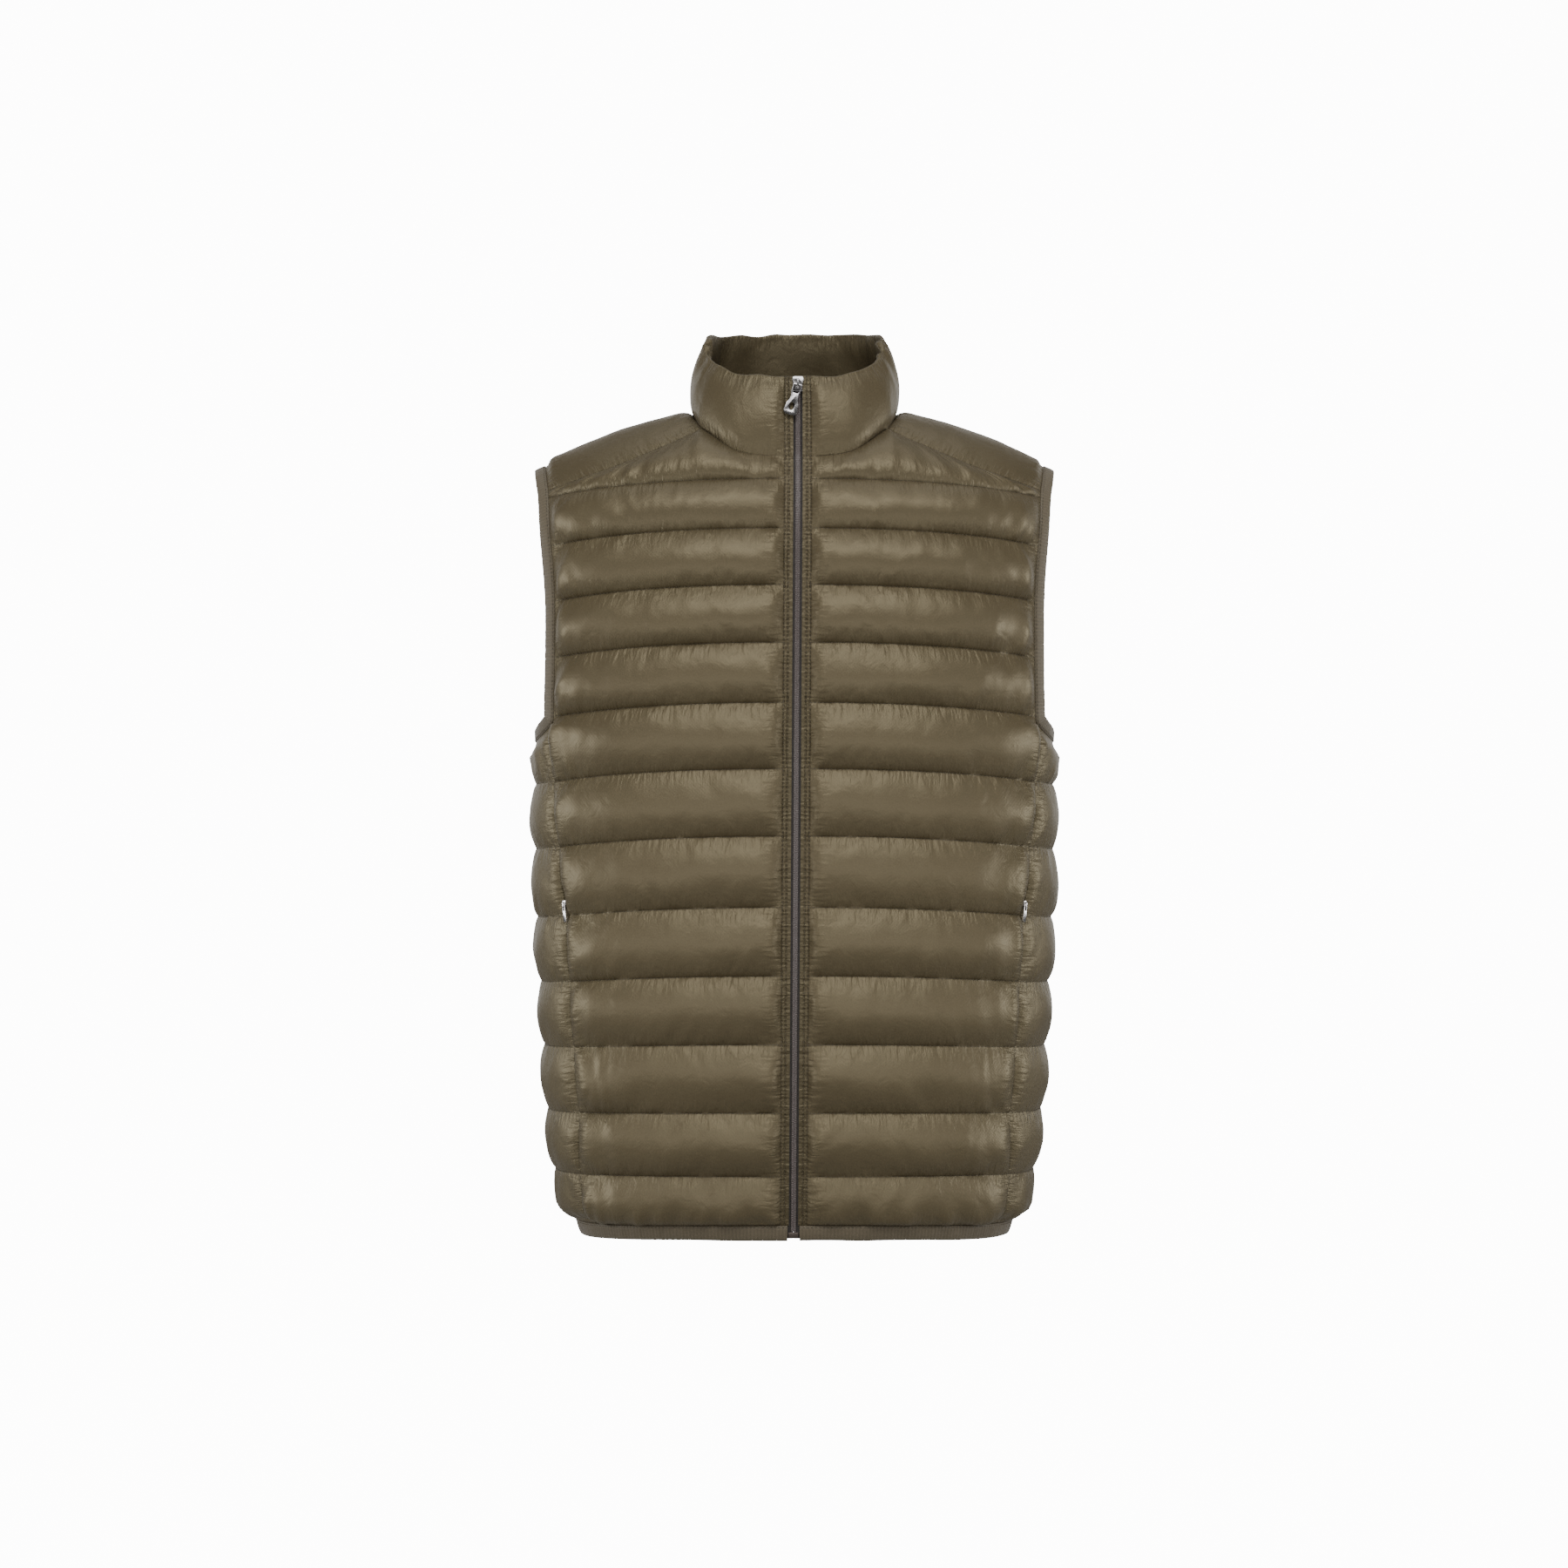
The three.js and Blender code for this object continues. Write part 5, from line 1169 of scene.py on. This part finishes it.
def plainMaterial(name, base, roughness, metallic=0.0, bumpScale=900, bump=0.2):  # one finish with fine grain
    material, tree, surface = newMaterial(name)
    place = addNode(tree, "ShaderNodeTexCoord")
    noise = addNode(tree, "ShaderNodeTexNoise", [("Vector", place.outputs["Object"])])
    noise.inputs["Scale"].default_value, noise.inputs["Detail"].default_value = bumpScale, 3
    tint = addNode(tree, "ShaderNodeMix", data_type="RGBA")
    tint.inputs[6].default_value = tuple(0.8 * v for v in base[:3]) + (1,)
    tint.inputs[7].default_value = base
    tree.links.new(noise.outputs["Fac"], tint.inputs[0])
    tree.links.new(tint.outputs[2], surface.inputs["Base Color"])
    rough = addNode(tree, "ShaderNodeMapRange", [("Value", noise.outputs["Fac"])])
    rough.inputs["To Min"].default_value, rough.inputs["To Max"].default_value = roughness
    tree.links.new(rough.outputs[0], surface.inputs["Roughness"])
    lumps = addNode(tree, "ShaderNodeBump", [("Height", noise.outputs["Fac"])])
    lumps.inputs["Distance"].default_value, lumps.inputs["Strength"].default_value = 0.0001, bump
    tree.links.new(lumps.outputs[0], surface.inputs["Normal"])
    surface.inputs["Metallic"].default_value = metallic
    return material, tree, surface


coil = plainMaterial("coilNylon", (0.15, 0.124, 0.118, 1), (0.26, 0.38))[0]
nickel = plainMaterial("polishedNickel", (0.5, 0.48, 0.475, 1), (0.16, 0.24), 1.0, 260, 0.05)[0]
darkMetal = plainMaterial("darkMetal", (0.13, 0.105, 0.09, 1), (0.3, 0.42), 0.7, 260, 0.05)[0]
thread = plainMaterial("sewingThread", (0.075, 0.06, 0.036, 1), (0.5, 0.65))[0]

near, far, normals, wall = zipEdges(1)
centre = near - (seams["zipEdge"], 0, 0)
keep = (centre[:, 2] > zipper["bottom"]) & (centre[:, 2] < zipper["top"])
centre = np.concatenate([[[centre[0, 0], centre[0, 1], zipper["bottom"]]], centre[keep]])
centre, _, _ = resample(centre, [], 4.0)
teeth = []
for side in (1, -1):
    path = centre + (side * zipper["spread"], zipper["recess"] + zipper["toothDepth"] / 2 + 0.35, 0)
    size = (zipper["toothLength"], zipper["toothDepth"], zipper["toothHeight"])
    start = 0.4 if side > 0 else 0.4 + zipper["pitch"] / 2
    teeth.append(beads(f"teeth{side}", [path], zipper["pitch"], size, coil, 7, 5, start))
coreRing = [(-2.1, 1.6), (-2.1, 3.0), (2.1, 3.0), (2.1, 1.6), (1.2, 1.35), (-1.2, 1.35)]
core = sweptMesh("coilCore", np.stack([centre + (x, y, 0) for x, y in coreRing], 1), False, coil)
core = merged("zipCoil", teeth + [core], coil)
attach(core, "garment")
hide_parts("zip_chain")


# Metal parts keep the CAD's shapes, with their edges rounded
def rounded(node, name, width, body, material=None):
    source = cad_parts[node]
    mesh = source.data.copy()
    mesh.transform(source.matrix_world)
    work = bmesh.new()
    work.from_mesh(mesh)
    bmesh.ops.remove_doubles(work, verts=work.verts, dist=1e-6)
    bmesh.ops.dissolve_limit(work, angle_limit=math.radians(4), verts=work.verts, edges=work.edges)
    work.to_mesh(mesh)
    work.free()
    mesh.materials.clear()
    mesh.materials.append(material or nickel)
    piece = bpy.data.objects.new(name, mesh)
    scene.collection.objects.link(piece)
    bevel = piece.modifiers.new("edges", "BEVEL")
    bevel.width, bevel.segments = width / 1000, 3
    bevel.limit_method, bevel.angle_limit = "ANGLE", math.radians(38)
    bevel.harden_normals = False
    graph = bpy.context.evaluated_depsgraph_get()
    piece.data = bpy.data.meshes.new_from_object(piece.evaluated_get(graph))
    piece.modifiers.clear()
    piece.data.polygons.foreach_set("use_smooth", np.ones(len(piece.data.polygons), bool))
    piece.data.set_sharp_from_angle(angle=math.radians(40))
    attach(piece, body)
    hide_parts(node)
    return piece


rounded("zip_slider", "zipSlider", 0.3, "garment")
rounded("zip_pull", "zipPullTab", 0.32, "pull")
rounded("zip_box", "zipBox", 0.5, "garment", darkMetal)
for word in ("left", "right"):
    rounded(f"pocket_slider_{word}", f"pocketSlider{word.capitalize()}", 0.2, "garment")
    rounded(f"pocket_pull_{word}", f"pocketPull{word.capitalize()}", 0.16, f"pocket_tab_{word}")
    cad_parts[f"pocket_zip_{word}"].data.materials.clear()
    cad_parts[f"pocket_zip_{word}"].data.materials.append(coil)
print("scene: zips made")


# Sewing thread: topstitching beside the zip, quilting lines and binding edges
size = (stitching["width"], stitching["width"] * 0.8, stitching["length"])
sewn = beads("stitchedThread", stitchPaths, stitching["pitch"], size, thread, 5, 3)
sewn = merged("stitches", [sewn], thread)
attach(sewn, "garment")
print("scene: stitches made", len(sewn.data.polygons))


# Camera at the photograph's place and plain soft studio light
camera = bpy.data.objects.new("camera", bpy.data.cameras.new("camera"))
camera.location, camera.rotation_euler = (-0.009, -2.63, -0.3096), (math.pi / 2, 0, 0)
camera.data.lens, camera.data.sensor_width, camera.data.clip_end = 69.4, 36, 50
scene.collection.objects.link(camera)
scene.camera = camera

lighting = {
    "key": {"place": (-0.03, -1.0, -0.38), "size": (2.3, 0.4), "power": 5.7},
    "fill": {"place": (0, -2.1, 2.1), "size": (3.0, 1.4), "power": 72},
    "left": {"place": (-2.7, -0.35, -0.15), "size": (1.2, 0.9), "power": 30},
    "right": {"place": (2.7, -0.35, -0.15), "size": (1.2, 0.9), "power": 30},
    "top": {"place": (0, 0.3, 2.2), "size": (2.2, 1.4), "power": 12},
    "rim": {"place": (0, 2.2, 0.3), "size": (6.0, 2.0), "power": 45},
    "world": 0.07, "shown": 13, "floor": -1.25, "wallY": 3.2, "bend": 1.6, "aim": (0, 0, -0.3),
}


def softbox(name, place, size, power):
    lamp = bpy.data.lights.new(name, "AREA")
    lamp.shape, lamp.size, lamp.size_y, lamp.energy = "RECTANGLE", size[0], size[1], power
    item = bpy.data.objects.new(name, lamp)
    item.location = place
    away = np.array(place) - np.array(lighting["aim"])
    tilt = math.atan2(math.hypot(away[0], away[1]), away[2])
    item.rotation_euler = (tilt, 0, math.atan2(away[0], -away[1]))
    item.visible_camera = False
    scene.collection.objects.link(item)


for name in ("key", "fill", "left", "right", "top", "rim"):
    softbox(name, lighting[name]["place"], lighting[name]["size"], lighting[name]["power"])
world = bpy.data.worlds.new("studio")
world.use_nodes = True
sky = world.node_tree.nodes["Background"]
sky.inputs["Color"].default_value = (1, 0.99, 0.975, 1)
sky.inputs["Strength"].default_value = lighting["world"]
scene.world = world


def backdrop():  # pale floor that bends up into a pale wall
    y, bend, level = lighting["wallY"], lighting["bend"], lighting["floor"]
    profile = [(-5, level), (y - bend, level)]
    profile += [(y - bend + bend * math.sin(a), level + bend * (1 - math.cos(a)))
                for a in np.linspace(0.1, np.pi / 2, 16)]
    profile.append((y, 5))
    points = [(x, a, b) for x in (-7, 7) for a, b in profile]
    count = len(profile)
    mesh = bpy.data.meshes.new("floor")
    mesh.from_pydata(points, [], [(i, i + count, i + count + 1, i + 1) for i in range(count - 1)])
    mesh.polygons.foreach_set("use_smooth", [True] * len(mesh.polygons))
    material, tree, surface = newMaterial("paleFloor")
    surface.inputs["Base Color"].default_value = (0.35, 0.348, 0.345, 1)
    surface.inputs["Roughness"].default_value = 0.9
    surface.inputs["Emission Color"].default_value = (1, 0.995, 0.985, 1)
    path = addNode(tree, "ShaderNodeLightPath")
    glow = sums(tree, "MULTIPLY", path.outputs["Is Camera Ray"], lighting["shown"])
    tree.links.new(glow, surface.inputs["Emission Strength"])
    mesh.materials.append(material)
    item = bpy.data.objects.new("floor", mesh)
    scene.collection.objects.link(item)


backdrop()
